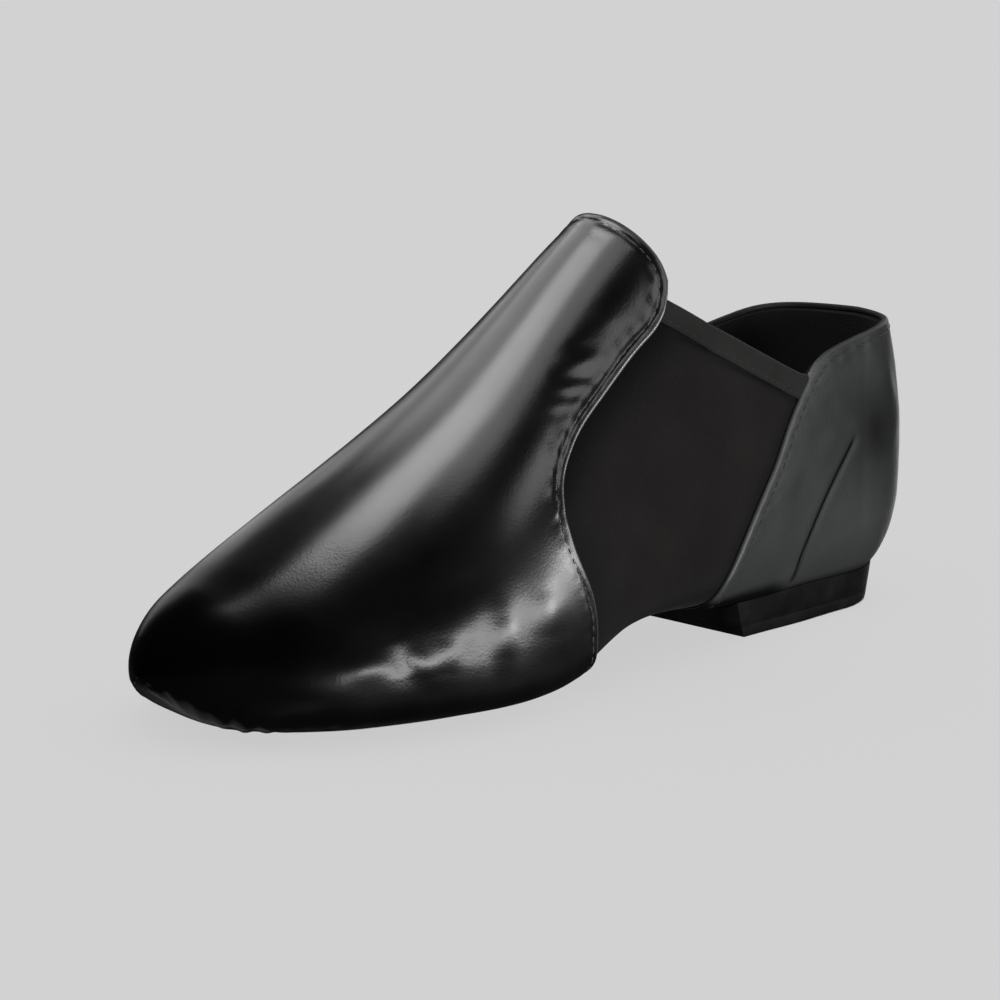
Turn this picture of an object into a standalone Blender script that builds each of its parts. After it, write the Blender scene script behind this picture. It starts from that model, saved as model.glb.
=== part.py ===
"""Left jazz shoe: a slip-on with a split sole, elastic gores and a low block heel.

Toe towards -Y, heel towards +Y, outer (lateral) side towards +X, floor at Z = 0.
Sizes are in millimetres and are turned into metres when a mesh is made.
Every piece of the upper is cut from one surface, the last with its leather on.
A place on it is a pair: u, the distance along the foot, and an angle round the section,
-90 under the middle of the foot, 0 at the widest line and +90 on the instep's ridge.
"""

import bmesh
import bpy
import numpy as np

MM = 0.001

# Driving sizes
LENGTH = 245.0
TOE = -LENGTH / 2
BACK = LENGTH / 2
HEEL_ROUND = 30.0
FAN = BACK - HEEL_ROUND
FAN_TURN = 40.0
CENTRE_SHIFT = -0.7

GAP = 0.3
LEATHER = 1.0
WALL = 1.4
TAPE = 0.7
SOCK = 1.8

# One row for each section: half widths to each side of the axis, then heights
SECTION_COLUMNS = ("y", "lateral", "medial", "axis", "floor", "girdle", "ridge", "fullness")
SECTIONS = (
    (-122.5, 26.0, 24.0, -8.0, 9.6, 15.8, 28.4, 2.00),
    (-100.0, 35.0, 33.6, -7.4, 3.6, 13.4, 37.2, 2.00),
    (-70.0, 42.9, 39.1, -3.7, 1.9, 13.0, 55.6, 2.03),
    (-40.0, 45.4, 40.2, -1.1, 1.8, 13.3, 74.6, 2.05),
    (-18.0, 41.8, 37.6, -1.6, 3.6, 17.0, 89.9, 2.06),
    (0.0, 37.0, 34.0, -2.1, 8.8, 21.7, 104.2, 2.08),
    (30.0, 33.4, 29.3, 0.0, 9.2, 28.0, 126.8, 2.20),
    (60.0, 29.4, 28.5, 0.0, 6.0, 37.0, 134.0, 2.31),
    (92.5, 25.5, 28.8, 0.0, 5.2, 44.1, 136.6, 2.27),
)
# How square the section is under its widest line
UNDER_COLUMNS = ("y", "squareness")
UNDER = ((TOE, 3.2), (-40.0, 3.5), (20.0, 2.8), (FAN, 2.9))

TOE_PLAN_FROM = -82.7
TOE_SIDE_FROM = -104.5
TOE_SIDE_POWER = 2.2
HEEL_POWER = 2.1
HEEL_LEAN = 1.4

# Edges of the pieces, each row a distance along the foot and a height
VAMP_EDGE_LOW = (
    (-17.5, 8.0),
    (-17.4, 14.9),
    (-17.4, 20.2),
    (-18.4, 26.8),
    (-21.0, 33.7),
    (-24.2, 41.8),
    (-25.4, 49.2),
)
VAMP_EDGE_HIGH = (
    (-25.4, 49.2),
    (-23.9, 56.1),
    (-19.7, 62.5),
    (-13.2, 68.7),
    (-5.7, 74.0),
    (2.5, 80.1),
    (10.0, 86.0),
    (15.3, 90.0),
    (19.1, 94.6),
    (21.9, 101.8),
)
TONGUE_TOP = (
    (21.9, 101.8),
    (21.7, 105.7),
    (19.6, 111.6),
    (17.0, 116.2),
    (16.0, 117.7),
)
COUNTER_EDGE = (
    (32.6, 14.0),
    (33.6, 18.7),
    (36.3, 24.5),
    (40.1, 30.6),
    (44.3, 36.6),
    (48.7, 42.6),
    (53.2, 48.5),
    (57.7, 55.8),
    (63.3, 64.4),
    (67.5, 69.5),
    (70.2, 72.6),
)
TAPE_DIP = 67.7
COLLAR = (
    (22.6, 95.2),
    (32.0, 89.3),
    (45.3, 82.3),
    (61.0, 74.4),
    (TAPE_DIP, 71.3),
    (70.2, 72.6),
    (74.0, 75.4),
    (87.2, 78.4),
    (101.8, 82.0),
    (FAN + FAN_TURN, 82.8),
)

# Lines under the foot that all rows share
SOLE_ANGLE = -42.0
HOLE_SHARE = 0.56
BRIDGE_START = 8.0
RING_LEAN = -2.0
FIRST_GORE_SHARE = 0.06
LEAN_FADES_BY = 0.6
FOREFOOT_HOLE = (-94.0, -38.0)
SEAT_HOLE_FROM = 66.0
SOCK_FROM = -117.0
TURN_WEIGHT = 9.0

# Cells of the shared net, along the foot and round the section
CURVE_SAMPLES = 240
ROWS_TOE = 14
ROWS_TONGUE = 8
ROWS_GORE = 7
ROWS_HEEL = 12
CELLS_HOLE = 2
CELLS_SOLE = 2
CELLS_SIDE = 7
CELLS_INSTEP = 6
COLUMN_HOLE = CELLS_HOLE
COLUMN_SOLE = CELLS_HOLE + CELLS_SOLE
COLUMN_EDGE = COLUMN_SOLE + CELLS_SIDE

TAPE_WIDTH = 6.5
TAPE_STATIONS = 11
TAPE_CLEAR = 0.7
TAPE_GAP = 0.5

PATCH_FRONT = -108.0
PATCH_BACK = -26.0
PATCH_INSET = 12.0
PATCH_ROUND_FRONT = 30.0
PATCH_ROUND_BACK = 18.0
PATCH_DEPTH = 2.4

BREAST = 46.8
BREAST_SLANT = 3.4
BREAST_SKEW = 1.2
HEEL_INSET = 7.0
HEEL_TAPER = 1.5
PAD_GAP = 0.35

MATERIALS = {
    "upper": ((0.020, 0.018, 0.018), 0.85),
    "vamp": ((0.008, 0.008, 0.009), 0.22),
    "heel_counter": ((0.030, 0.030, 0.031), 0.50),
    "collar_binding": ((0.026, 0.024, 0.024), 0.80),
    "forefoot_sole": ((0.024, 0.023, 0.022), 0.90),
    "heel": ((0.010, 0.010, 0.010), 0.65),
    "insole": ((0.018, 0.018, 0.018), 0.85),
}


def smooth_curve(xs, ys):
    """A natural cubic through the given points, held at its ends."""
    xs = np.asarray(xs, float)
    ys = np.asarray(ys, float)
    count = len(xs)
    step = np.diff(xs)
    matrix = np.eye(count)
    right = np.zeros(count)
    for i in range(1, count - 1):
        matrix[i, i - 1:i + 2] = step[i - 1], 2 * (step[i - 1] + step[i]), step[i]
        right[i] = 6 * ((ys[i + 1] - ys[i]) / step[i] - (ys[i] - ys[i - 1]) / step[i - 1])
    bend = np.linalg.solve(matrix, right)

    def value(x):
        x = np.clip(np.asarray(x, float), xs[0], xs[-1])
        i = np.clip(np.searchsorted(xs, x) - 1, 0, count - 2)
        t = x - xs[i]
        slope = (ys[i + 1] - ys[i]) / step[i] - step[i] * (2 * bend[i] + bend[i + 1]) / 6
        return ys[i] + t * (slope + t * (bend[i] / 2 + t * (bend[i + 1] - bend[i]) / (6 * step[i])))

    return value


def columns_of(rows, names):
    """A smooth curve for each named column of a table, over its first column."""
    table = np.array(rows, float)
    return {name: smooth_curve(table[:, 0], table[:, i]) for i, name in enumerate(names) if i}


SHAPE = columns_of(SECTIONS, SECTION_COLUMNS)
SHAPE.update(columns_of(UNDER, UNDER_COLUMNS))


def toe_cap(y, start, power):
    """1 behind the start of the toe's rounding, falling to 0 at the toe's tip."""
    share = np.clip((start - y) / (start - TOE), 0, 1)
    return (1 - share ** power) ** (1 / power)


def half_width(y, side):
    """Half width of the foot at y, to the lateral side (+1) or the medial side (-1)."""
    width = np.where(side > 0, SHAPE["lateral"](y), SHAPE["medial"](y))
    return width * toe_cap(y, TOE_PLAN_FROM, 2.0)


def last_point(u, angle, side):
    """The place on the last's surface, in millimetres."""
    u, angle, side = np.broadcast_arrays(np.asarray(u, float), np.asarray(angle, float), side)
    turn = np.radians(angle)
    y = np.minimum(u, FAN)
    round_back = np.clip((u - FAN) / FAN_TURN, 0, 1) * np.pi / 2
    above = angle >= 0
    high = np.sin(np.maximum(turn, 0)) ** (2 / SHAPE["fullness"](y))
    low = np.sin(np.maximum(-turn, 0)) ** (2 / SHAPE["squareness"](y))
    power = np.where(above, SHAPE["fullness"](y), SHAPE["squareness"](y))
    across = np.abs(np.cos(turn)) ** (2 / power)
    side_cap = toe_cap(y, TOE_SIDE_FROM, TOE_SIDE_POWER)
    girdle = SHAPE["girdle"](y)
    z = girdle + side_cap * ((SHAPE["ridge"](y) - girdle) * high - (girdle - SHAPE["floor"](y)) * low)
    depth = HEEL_ROUND * np.where(above, 1 - HEEL_LEAN * high ** 2, across)
    x = SHAPE["axis"](y) + side * half_width(y, side) * across * np.cos(round_back) ** (2 / HEEL_POWER)
    return np.stack([x, y + depth * np.sin(round_back) ** (2 / HEEL_POWER), z], -1)


def last_normal(u, angle, side):
    """The outward direction of the surface at a place on it."""
    u = np.clip(np.asarray(u, float), TOE + 0.3, FAN + FAN_TURN - 0.3)
    angle = np.clip(np.asarray(angle, float), -89.2, 89.2)
    along = last_point(u + 0.25, angle, side) - last_point(u - 0.25, angle, side)
    round_it = last_point(u, angle + 0.6, side) - last_point(u, angle - 0.6, side)
    normal = np.cross(along, round_it) * np.asarray(side)[..., None]
    return normal / np.maximum(np.linalg.norm(normal, axis=-1, keepdims=True), 1e-9)


def angle_at(u, z):
    """The angle at which the surface has a given height, at distance u."""
    y = np.minimum(u, FAN)
    girdle = SHAPE["girdle"](y)
    high = np.clip((z - girdle) / (SHAPE["ridge"](y) - girdle), 0, 1)
    low = np.clip((girdle - z) / (girdle - SHAPE["floor"](y)), 0, 1)
    up = np.degrees(np.arcsin(high ** (SHAPE["fullness"](y) / 2)))
    down = np.degrees(np.arcsin(low ** (SHAPE["squareness"](y) / 2)))
    return np.where(z >= girdle, up, -down)


def underside(x, y):
    """The height of the last's underside over a point of the floor plan."""
    section = np.minimum(y, FAN)
    power = SHAPE["squareness"](section)
    side = np.where(x >= SHAPE["axis"](section), 1, -1)
    across = np.abs(x - SHAPE["axis"](section)) / half_width(section, side)
    behind = np.maximum(y - FAN, 0) / HEEL_ROUND
    reach = np.clip(across ** HEEL_POWER + behind ** HEEL_POWER, 0, 1) ** (1 / HEEL_POWER)
    girdle = SHAPE["girdle"](section)
    drop = (girdle - SHAPE["floor"](section)) * toe_cap(section, TOE_SIDE_FROM, TOE_SIDE_POWER)
    return girdle - drop * (1 - reach ** power) ** (1 / power)


def edge_curve(rows, samples=160):
    """A smooth edge through a table of distances and heights, as places (u, angle)."""
    table = np.array(rows, float)
    run = np.concatenate([[0], np.cumsum(np.hypot(*np.diff(table, axis=0).T))])
    at = np.linspace(0, run[-1], samples)
    u = smooth_curve(run, table[:, 0])(at)
    z = smooth_curve(run, table[:, 1])(at)
    return np.stack([u, angle_at(u, z)], -1)


def from_bottom(curve, start_u, samples=60):
    """The curve with its run under the foot put before it, from the bottom centre."""
    share = np.linspace(0, 1, samples, endpoint=False)[:, None]
    first = np.array([[start_u, -90.0]])
    return np.concatenate([first + share * (curve[:1] - first), curve])


def measure(curve):
    """Running length along a curve on the last, counted longer where it turns."""
    points = last_point(curve[:, 0], curve[:, 1], 1)
    legs = np.diff(points, axis=0)
    length = np.maximum(np.linalg.norm(legs, axis=1), 1e-9)
    heading = legs / length[:, None]
    cosine = np.clip(np.sum(heading[1:] * heading[:-1], axis=1), -1, 1)
    turn = np.concatenate([[0], np.arccos(cosine)])
    return np.concatenate([[0], np.cumsum(length + TURN_WEIGHT * turn)])


def resample(curve, cells, start=0.0, end=None):
    """Places that split a stretch of a curve into a number of cells."""
    run = measure(curve)
    end = run[-1] if end is None else end
    at = np.linspace(start, end, cells + 1)
    return np.stack([np.interp(at, run, curve[:, i]) for i in (0, 1)], -1)


def split_row(curve):
    """A row's places from the bottom centre to its top, on the shared lines below."""
    run = measure(curve)
    sole = np.interp(SOLE_ANGLE, curve[:, 1], run)
    hole = HOLE_SHARE * sole
    inner = resample(curve, CELLS_HOLE, 0, hole)
    middle = resample(curve, CELLS_SOLE, hole, sole)
    outer = resample(curve, CELLS_SIDE, sole)
    return np.concatenate([inner, middle[1:], outer[1:]])


def same_count(curve):
    """The curve at evenly spaced lengths, so that two curves can be blended."""
    points = last_point(curve[:, 0], curve[:, 1], 1)
    run = np.concatenate([[0], np.cumsum(np.linalg.norm(np.diff(points, axis=0), axis=1))])
    at = np.linspace(0, run[-1], CURVE_SAMPLES)
    return np.stack([np.interp(at, run, curve[:, i]) for i in (0, 1)], -1)


def blended(first, second, share, low_end=None, high_end=None):
    """A curve between two curves, its ends moved onto given places."""
    curve = (1 - share) * first + share * second
    along = np.linspace(0, 1, len(curve))[:, None]
    if high_end is not None:
        curve = curve + along ** 2 * (high_end - curve[-1])
    if low_end is not None:
        curve = curve + (1 - along) ** 2 * (low_end - curve[0])
    return curve


def straight_row(low, high):
    """A row from the bottom centre at u = low, leaning smoothly to its top place."""
    angle = np.linspace(-90, high[1], CURVE_SAMPLES)
    lean = ((angle + 90) / (high[1] + 90)) ** 2
    return same_count(np.stack([low + lean * (high[0] - low), angle], -1))


def collar_place(u):
    """The place on the collar's edge at distance u."""
    collar = np.array(COLLAR, float)
    return np.array([u, float(angle_at(u, np.interp(u, collar[:, 0], collar[:, 1])))])


def toe_rows(ring):
    """Rows from the toe's tip to just before the ring at the vamp's lower edges."""
    rows = []
    for i in range(ROWS_TOE):
        step = i / ROWS_TOE
        row = ring.copy()
        row[:, 0] = TOE + (ring[:, 0] - TOE) * step ** 2 * (1.5 - 0.5 * step)
        rows.append(row)
    return rows


def build_net():
    """Rows of places from the toe to the back, shared by every piece of the upper."""
    vamp_low = same_count(from_bottom(edge_curve(VAMP_EDGE_LOW), VAMP_EDGE_LOW[0][0]))
    counter_low = same_count(from_bottom(edge_curve(COUNTER_EDGE), COUNTER_EDGE[0][0]))
    apex = vamp_low[-1]
    vamp_high = same_count(resample(np.array([apex, [apex[0] + RING_LEAN, 90.0]]), CURVE_SAMPLES))
    tongue_high = same_count(edge_curve(TONGUE_TOP))
    tongue_high[-1, 1] = 90.0
    tongue_low = straight_row(BRIDGE_START, tongue_high[0])

    ring = np.concatenate([split_row(vamp_low), resample(vamp_high, CELLS_INSTEP)[1:]])
    rows = toe_rows(ring) + [ring]

    edge = resample(edge_curve(VAMP_EDGE_HIGH), ROWS_TONGUE)
    for i in range(1, ROWS_TONGUE + 1):
        share = i / ROWS_TONGUE
        low = blended(vamp_low, tongue_low, share, high_end=edge[i])
        high = blended(vamp_high, tongue_high, share, low_end=edge[i])
        rows.append(np.concatenate([split_row(low), resample(high, CELLS_INSTEP)[1:]]))

    gore_start = COLLAR[0][0]
    heel_start = COUNTER_EDGE[-1][0]
    gore_tops = np.append(np.linspace(gore_start, TAPE_DIP, ROWS_GORE), heel_start)
    for top_u in gore_tops:
        share = (top_u - gore_start) / (heel_start - gore_start)
        top = collar_place(top_u)
        spread = FIRST_GORE_SHARE + (1 - FIRST_GORE_SHARE) * share
        rows.append(split_row(blended(tongue_low, counter_low, spread, high_end=top)))

    for i in range(1, ROWS_HEEL + 1):
        share = i / ROWS_HEEL
        top = collar_place(heel_start + share * (FAN + FAN_TURN - heel_start))
        row = straight_row(top[0], top)
        lean = max(0.0, 1 - share / LEAN_FADES_BY)
        row[:, 0] += lean * (counter_low[:, 0] - heel_start)
        rows.append(split_row(row))
    return rows


def sheet(rows, keep):
    """Welded corners and faces of the net's cells that a piece keeps, on both sides."""
    found = {}
    places = []
    faces = []

    def corner(i, j, side):
        u, angle = rows[i][j]
        spot = tuple(np.round(last_point(u, angle, side), 4))
        if spot not in found:
            found[spot] = len(places)
            places.append([])
        places[found[spot]].append((u, angle, side))
        return found[spot]

    for side in (1, -1):
        for i in range(len(rows) - 1):
            for j in range(min(len(rows[i]), len(rows[i + 1])) - 1):
                if not keep(i, j):
                    continue
                loop = [corner(i, j, side), corner(i + 1, j, side),
                        corner(i + 1, j + 1, side), corner(i, j + 1, side)]
                loop = [v for n, v in enumerate(loop) if v != loop[n - 1]]
                if len(loop) > 2:
                    faces.append(loop if side > 0 else loop[::-1])
    return places, faces


def layer(places, offset):
    """The corners of a sheet, moved along the surface's direction by an offset."""
    points = []
    for spots in places:
        u, angle, side = (np.array(value, float) for value in zip(*spots))
        point = last_point(u, angle, side).mean(axis=0)
        normal = last_normal(u, angle, side).mean(axis=0)
        points.append(point + offset * normal / np.linalg.norm(normal))
    return points


def thick_piece(rows, keep, outer, inner):
    """A wall between two offsets from the surface, closed round every edge."""
    places, faces = sheet(rows, keep)
    count = len(places)
    points = layer(places, outer) + layer(places, inner)
    loops = list(faces) + [[v + count for v in reversed(loop)] for loop in faces]
    edges = {(loop[n - 1], loop[n]) for loop in faces for n in range(len(loop))}
    rim = [edge for edge in edges if (edge[1], edge[0]) not in edges]
    for a, b in sorted(rim):
        loops.append([b, a, a + count, b + count])
    return points, loops


def in_hole(rows, i, j):
    """True for cells under the foot that a sole piece closes from below."""
    if j >= COLUMN_HOLE:
        return False
    here, after = rows[i][0][0], rows[i + 1][0][0]
    forefoot = here >= FOREFOOT_HOLE[0] and after <= FOREFOOT_HOLE[1]
    return forefoot or here >= SEAT_HOLE_FROM


def make_object(name, points, loops, material_name):
    """A named object with its own material, in metres and centred on the floor plan."""
    mesh = bpy.data.meshes.new(name)
    work = bmesh.new()
    shift = np.array([CENTRE_SHIFT, 0, 0])
    corners = [work.verts.new((np.asarray(point) + shift) * MM) for point in points]
    for loop in loops:
        work.faces.new([corners[v] for v in loop])
    bmesh.ops.recalc_face_normals(work, faces=work.faces)
    work.to_mesh(mesh)
    work.free()
    mesh.shade_smooth()
    mesh.set_sharp_from_angle(angle=np.radians(40))
    piece = bpy.data.objects.new(name, mesh)
    bpy.context.scene.collection.objects.link(piece)
    color, roughness = MATERIALS[material_name]
    material = bpy.data.materials.new(material_name)
    material.use_nodes = True
    shader = material.node_tree.nodes["Principled BSDF"]
    shader.inputs["Base Color"].default_value = (*color, 1)
    shader.inputs["Roughness"].default_value = roughness
    shader.inputs["Metallic"].default_value = 0
    mesh.materials.append(material)
    return piece


def make_upper_pieces(rows):
    """The hollow inner shell, the vamp, the heel counter and the insole."""
    ring = ROWS_TOE
    tongue = ring + ROWS_TONGUE
    counter = tongue + ROWS_GORE + 1
    shell_out = -LEATHER - GAP
    shell_in = shell_out - WALL

    def in_vamp(i, j):
        return (i < ring or (i < tongue and j >= COLUMN_EDGE)) and not in_hole(rows, i, j)

    def in_counter(i, j):
        return i >= counter and not in_hole(rows, i, j)

    def in_shell(i, j):
        return not in_hole(rows, i, j)

    def in_sock(i, j):
        return j < COLUMN_SOLE and rows[i][0][0] >= SOCK_FROM

    make_object("upper", *thick_piece(rows, in_shell, shell_out, shell_in), "upper")
    make_object("vamp", *thick_piece(rows, in_vamp, 0, -LEATHER), "vamp")
    make_object("heel_counter", *thick_piece(rows, in_counter, 0, -LEATHER), "heel_counter")
    sock_under = shell_in - GAP
    make_object("insole", *thick_piece(rows, in_sock, sock_under, sock_under - SOCK), "insole")


def tape_profile():
    """Offset from the surface and depth below the collar, round the folded tape."""
    outside = -LEATHER - GAP + TAPE_GAP
    inside = -LEATHER - GAP - WALL - TAPE_GAP
    crown = -TAPE_GAP - TAPE
    return (
        (outside, TAPE_WIDTH),
        (outside + TAPE, TAPE_WIDTH),
        (outside + TAPE, crown + 0.4),
        (outside + TAPE - 0.4, crown),
        (inside - TAPE + 0.4, crown),
        (inside - TAPE, crown + 0.4),
        (inside - TAPE, TAPE_WIDTH),
        (inside, TAPE_WIDTH),
        (inside, -TAPE_GAP),
        (outside, -TAPE_GAP),
    )


def tape_height(u, depth):
    """The height at a depth below the collar, carried on forward under the vamp's edge."""
    collar = np.array(COLLAR, float)
    height = np.interp(u, collar[:, 0], collar[:, 1])
    slope = (collar[0, 1] - collar[1, 1]) / (collar[1, 0] - collar[0, 0])
    return height + np.maximum(collar[0, 0] - u, 0) * slope - depth


def tape_ends(offset, depth):
    """Where the tape starts behind the vamp's edge and ends before the counter's."""
    front = np.array(VAMP_EDGE_HIGH, float)
    rear = np.array(COUNTER_EDGE, float)
    at = np.linspace(front[0, 0], rear[-1, 0], 400)
    height = tape_height(at, max(depth, 0))
    clear_front = at - np.interp(height, front[:, 1], front[:, 0]) > TAPE_CLEAR
    clear_rear = np.interp(height, rear[:, 1], rear[:, 0]) - at > TAPE_CLEAR
    start = at[clear_front][0]
    if depth <= 0 or offset < -LEATHER:
        start = max(start, COLLAR[0][0] + TAPE_CLEAR)
    return start, at[clear_rear][-1]


def make_tapes():
    """The folded tape over the top edge of each gore, between vamp and counter."""
    for name, side in (("collar_binding_lateral", 1), ("collar_binding_medial", -1)):
        points = []
        for station in range(TAPE_STATIONS):
            share = station / (TAPE_STATIONS - 1)
            for offset, depth in tape_profile():
                start, end = tape_ends(offset, depth)
                u = start + share * (end - start)
                angle = angle_at(u, tape_height(u, depth))
                normal = last_normal(np.array([u]), np.array([angle]), np.array([side]))[0]
                points.append(last_point(u, angle, side) + offset * normal)
        size = len(tape_profile())
        loops = []
        for station in range(TAPE_STATIONS - 1):
            for n in range(size):
                a = station * size + n
                b = station * size + (n + 1) % size
                loops.append([a, b, b + size, a + size])
        last = (TAPE_STATIONS - 1) * size
        for start, order in ((0, 1), (last, -1)):
            for quad in ((0, 1, 2, 9), (2, 3, 8, 9), (3, 4, 8), (4, 5, 8), (5, 6, 7, 8)):
                loops.append([start + v for v in quad][::order])
        make_object(name, points, loops, "collar_binding")


def pad(outline, top, bottom, rows, cells):
    """A block between two heights over a floor plan; its ends may come to a point."""
    points = []
    index = {}
    net = np.zeros((2, rows + 1, cells + 1), int)
    for level in (0, 1):
        for i in range(rows + 1):
            for j in range(cells + 1):
                across = -np.cos(np.pi * j / cells)
                x, y = outline(i / rows, across, level)
                z = top(x, y) if level else bottom(x, y)
                spot = (level, round(float(x), 4), round(float(y), 4))
                if spot not in index:
                    index[spot] = len(points)
                    points.append((float(x), float(y), float(z)))
                net[level, i, j] = index[spot]
    loops = []

    def add(loop):
        loop = [v for n, v in enumerate(loop) if v != loop[n - 1]]
        if len(loop) > 2:
            loops.append(loop)

    for i in range(rows):
        for j in range(cells):
            for level, order in ((1, 1), (0, -1)):
                corners = net[level, i:i + 2, j:j + 2]
                add([corners[0, 0], corners[0, 1], corners[1, 1], corners[1, 0]][::order])
        for j in (0, cells):
            wall = [net[0, i, j], net[0, i + 1, j], net[1, i + 1, j], net[1, i, j]]
            add(wall if j else wall[::-1])
    for i in (0, rows):
        for j in range(cells):
            wall = [net[0, i, j], net[0, i, j + 1], net[1, i, j + 1], net[1, i, j]]
            add(wall if i == 0 else wall[::-1])
    return points, loops


def make_forefoot_sole():
    """The thin patch under the ball, flat where it meets the floor."""

    def outline(along, across, level):
        y = PATCH_FRONT + (PATCH_BACK - PATCH_FRONT) * (1 - np.cos(np.pi * along)) / 2
        front = np.clip((PATCH_FRONT + PATCH_ROUND_FRONT - y) / PATCH_ROUND_FRONT, 0, 1)
        back = np.clip((y - PATCH_BACK + PATCH_ROUND_BACK) / PATCH_ROUND_BACK, 0, 1)
        close = np.sqrt(1 - front ** 2) * np.sqrt(1 - back ** 2)
        axis = SHAPE["axis"](y)
        full = SHAPE["lateral"](y) if across > 0 else SHAPE["medial"](y)
        return axis + across * (full - PATCH_INSET) * close, y

    def top(x, y):
        return underside(x, y) - PAD_GAP

    def bottom(x, y):
        return max(0.0, float(underside(x, y)) - PAD_GAP - PATCH_DEPTH)

    make_object("forefoot_sole", *pad(outline, top, bottom, 20, 12), "forefoot_sole")


def make_heel():
    """The low block under the seat, with its breast slanting back towards the floor."""

    def outline(along, across, level):
        inset = HEEL_INSET + (0 if level else HEEL_TAPER)
        start = BREAST + (0 if level else BREAST_SLANT) + BREAST_SKEW * across
        reach = np.sin(np.pi / 2 * along)
        y = start + (BACK - inset - start) * reach
        behind = np.clip((y - FAN) / (HEEL_ROUND - inset), 0, 1)
        section = min(y, FAN)
        close = (1 - behind ** HEEL_POWER) ** (1 / HEEL_POWER)
        half = float(half_width(section, 1 if across > 0 else -1)) - inset
        return float(SHAPE["axis"](section)) + across * half * close, y

    def top(x, y):
        return underside(x, y) - PAD_GAP

    def bottom(x, y):
        return 0.0

    make_object("heel", *pad(outline, top, bottom, 12, 12), "heel")


def main():
    for piece in list(bpy.data.objects):
        bpy.data.objects.remove(piece)
    rows = build_net()
    make_upper_pieces(rows)
    make_tapes()
    make_forefoot_sole()
    make_heel()


main()
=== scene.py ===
"""Looks for the left jazz shoe: leather, elastic, lining, stitching and a plain studio.

Sizes are in millimetres and are turned into metres when a mesh is made.
Toe towards -Y, heel towards +Y, outer (lateral) side towards +X, floor at Z = 0.
Every piece of the upper follows one surface, the last with its leather on.
A place on it is a pair: u, the distance along the foot, and an angle round the section,
-90 under the middle of the foot, 0 at the widest line and +90 on the instep's ridge.
"""

import bmesh
import bpy
import numpy as np
from mathutils import Matrix, Vector
from mathutils.kdtree import KDTree


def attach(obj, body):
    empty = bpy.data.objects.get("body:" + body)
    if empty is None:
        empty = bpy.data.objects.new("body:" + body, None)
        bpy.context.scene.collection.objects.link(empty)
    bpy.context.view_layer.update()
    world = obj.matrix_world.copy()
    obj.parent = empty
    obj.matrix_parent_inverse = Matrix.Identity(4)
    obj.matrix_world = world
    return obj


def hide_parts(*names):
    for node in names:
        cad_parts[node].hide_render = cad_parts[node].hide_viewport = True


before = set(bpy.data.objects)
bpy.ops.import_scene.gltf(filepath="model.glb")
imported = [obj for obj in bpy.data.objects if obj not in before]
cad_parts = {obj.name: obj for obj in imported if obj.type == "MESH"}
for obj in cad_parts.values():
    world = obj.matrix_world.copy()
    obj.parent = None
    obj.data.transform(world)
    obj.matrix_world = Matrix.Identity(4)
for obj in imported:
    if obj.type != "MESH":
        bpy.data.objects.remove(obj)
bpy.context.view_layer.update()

MM = 0.001

SHOE = bpy.data.collections.new("shoe")
GLOSSY = bpy.data.collections.new("glossy")
REST = bpy.data.collections.new("rest")
STUDIO = bpy.data.collections.new("studio")
for parent, child in ((bpy.context.scene.collection, SHOE), (SHOE, GLOSSY), (SHOE, REST),
                      (bpy.context.scene.collection, STUDIO)):
    parent.children.link(child)

# The last, with the same sizes as the CAD
LENGTH = 245.0
TOE = -LENGTH / 2
BACK = LENGTH / 2
HEEL_ROUND = 30.0
FAN = BACK - HEEL_ROUND
FAN_TURN = 40.0
CENTRE_SHIFT = -0.7

SECTION_COLUMNS = ("y", "lateral", "medial", "axis", "floor", "girdle", "ridge", "fullness")
SECTIONS = (
    (-122.5, 26.0, 24.0, -8.0, 9.6, 15.8, 28.4, 2.00),
    (-100.0, 35.0, 33.6, -7.4, 3.6, 13.4, 37.2, 2.00),
    (-70.0, 42.9, 39.1, -3.7, 1.9, 13.0, 55.6, 2.03),
    (-40.0, 45.4, 40.2, -1.1, 1.8, 13.3, 74.6, 2.05),
    (-18.0, 41.8, 37.6, -1.6, 3.6, 17.0, 89.9, 2.06),
    (0.0, 37.0, 34.0, -2.1, 8.8, 21.7, 104.2, 2.08),
    (30.0, 33.4, 29.3, 0.0, 9.2, 28.0, 126.8, 2.20),
    (60.0, 29.4, 28.5, 0.0, 6.0, 37.0, 134.0, 2.31),
    (92.5, 25.5, 28.8, 0.0, 5.2, 44.1, 136.6, 2.27),
)
UNDER_COLUMNS = ("y", "squareness")
UNDER = ((TOE, 3.2), (-40.0, 3.5), (20.0, 2.8), (FAN, 2.9))
TOE_PLAN_FROM = -82.7
TOE_SIDE_FROM = -104.5
TOE_SIDE_POWER = 2.2
HEEL_POWER = 2.1
HEEL_LEAN = 1.4

# Edges of the pieces, each row a distance along the foot and a height
VAMP_EDGE_LOW = (
    (-17.5, 8.0), (-17.4, 14.9), (-17.4, 20.2), (-18.4, 26.8), (-21.0, 33.7),
    (-24.2, 41.8), (-25.4, 49.2),
)
VAMP_EDGE_HIGH = (
    (-25.4, 49.2), (-23.9, 56.1), (-19.7, 62.5), (-13.2, 68.7), (-5.7, 74.0),
    (2.5, 80.1), (10.0, 86.0), (15.3, 90.0), (19.1, 94.6), (21.9, 101.8),
)
TONGUE_TOP = (
    (21.9, 101.8), (21.7, 105.7), (19.6, 111.6), (17.0, 116.2), (16.0, 117.7),
)
COUNTER_EDGE = (
    (32.6, 14.0), (33.6, 18.7), (36.3, 24.5), (40.1, 30.6), (44.3, 36.6),
    (48.7, 42.6), (53.2, 48.5), (57.7, 55.8), (63.3, 64.4), (67.5, 69.5),
    (70.2, 72.6),
)
TAPE_DIP = 67.7
COLLAR = (
    (22.6, 95.2), (32.0, 89.3), (45.3, 82.3), (61.0, 74.4), (TAPE_DIP, 71.3),
    (70.2, 72.6),
)
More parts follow.
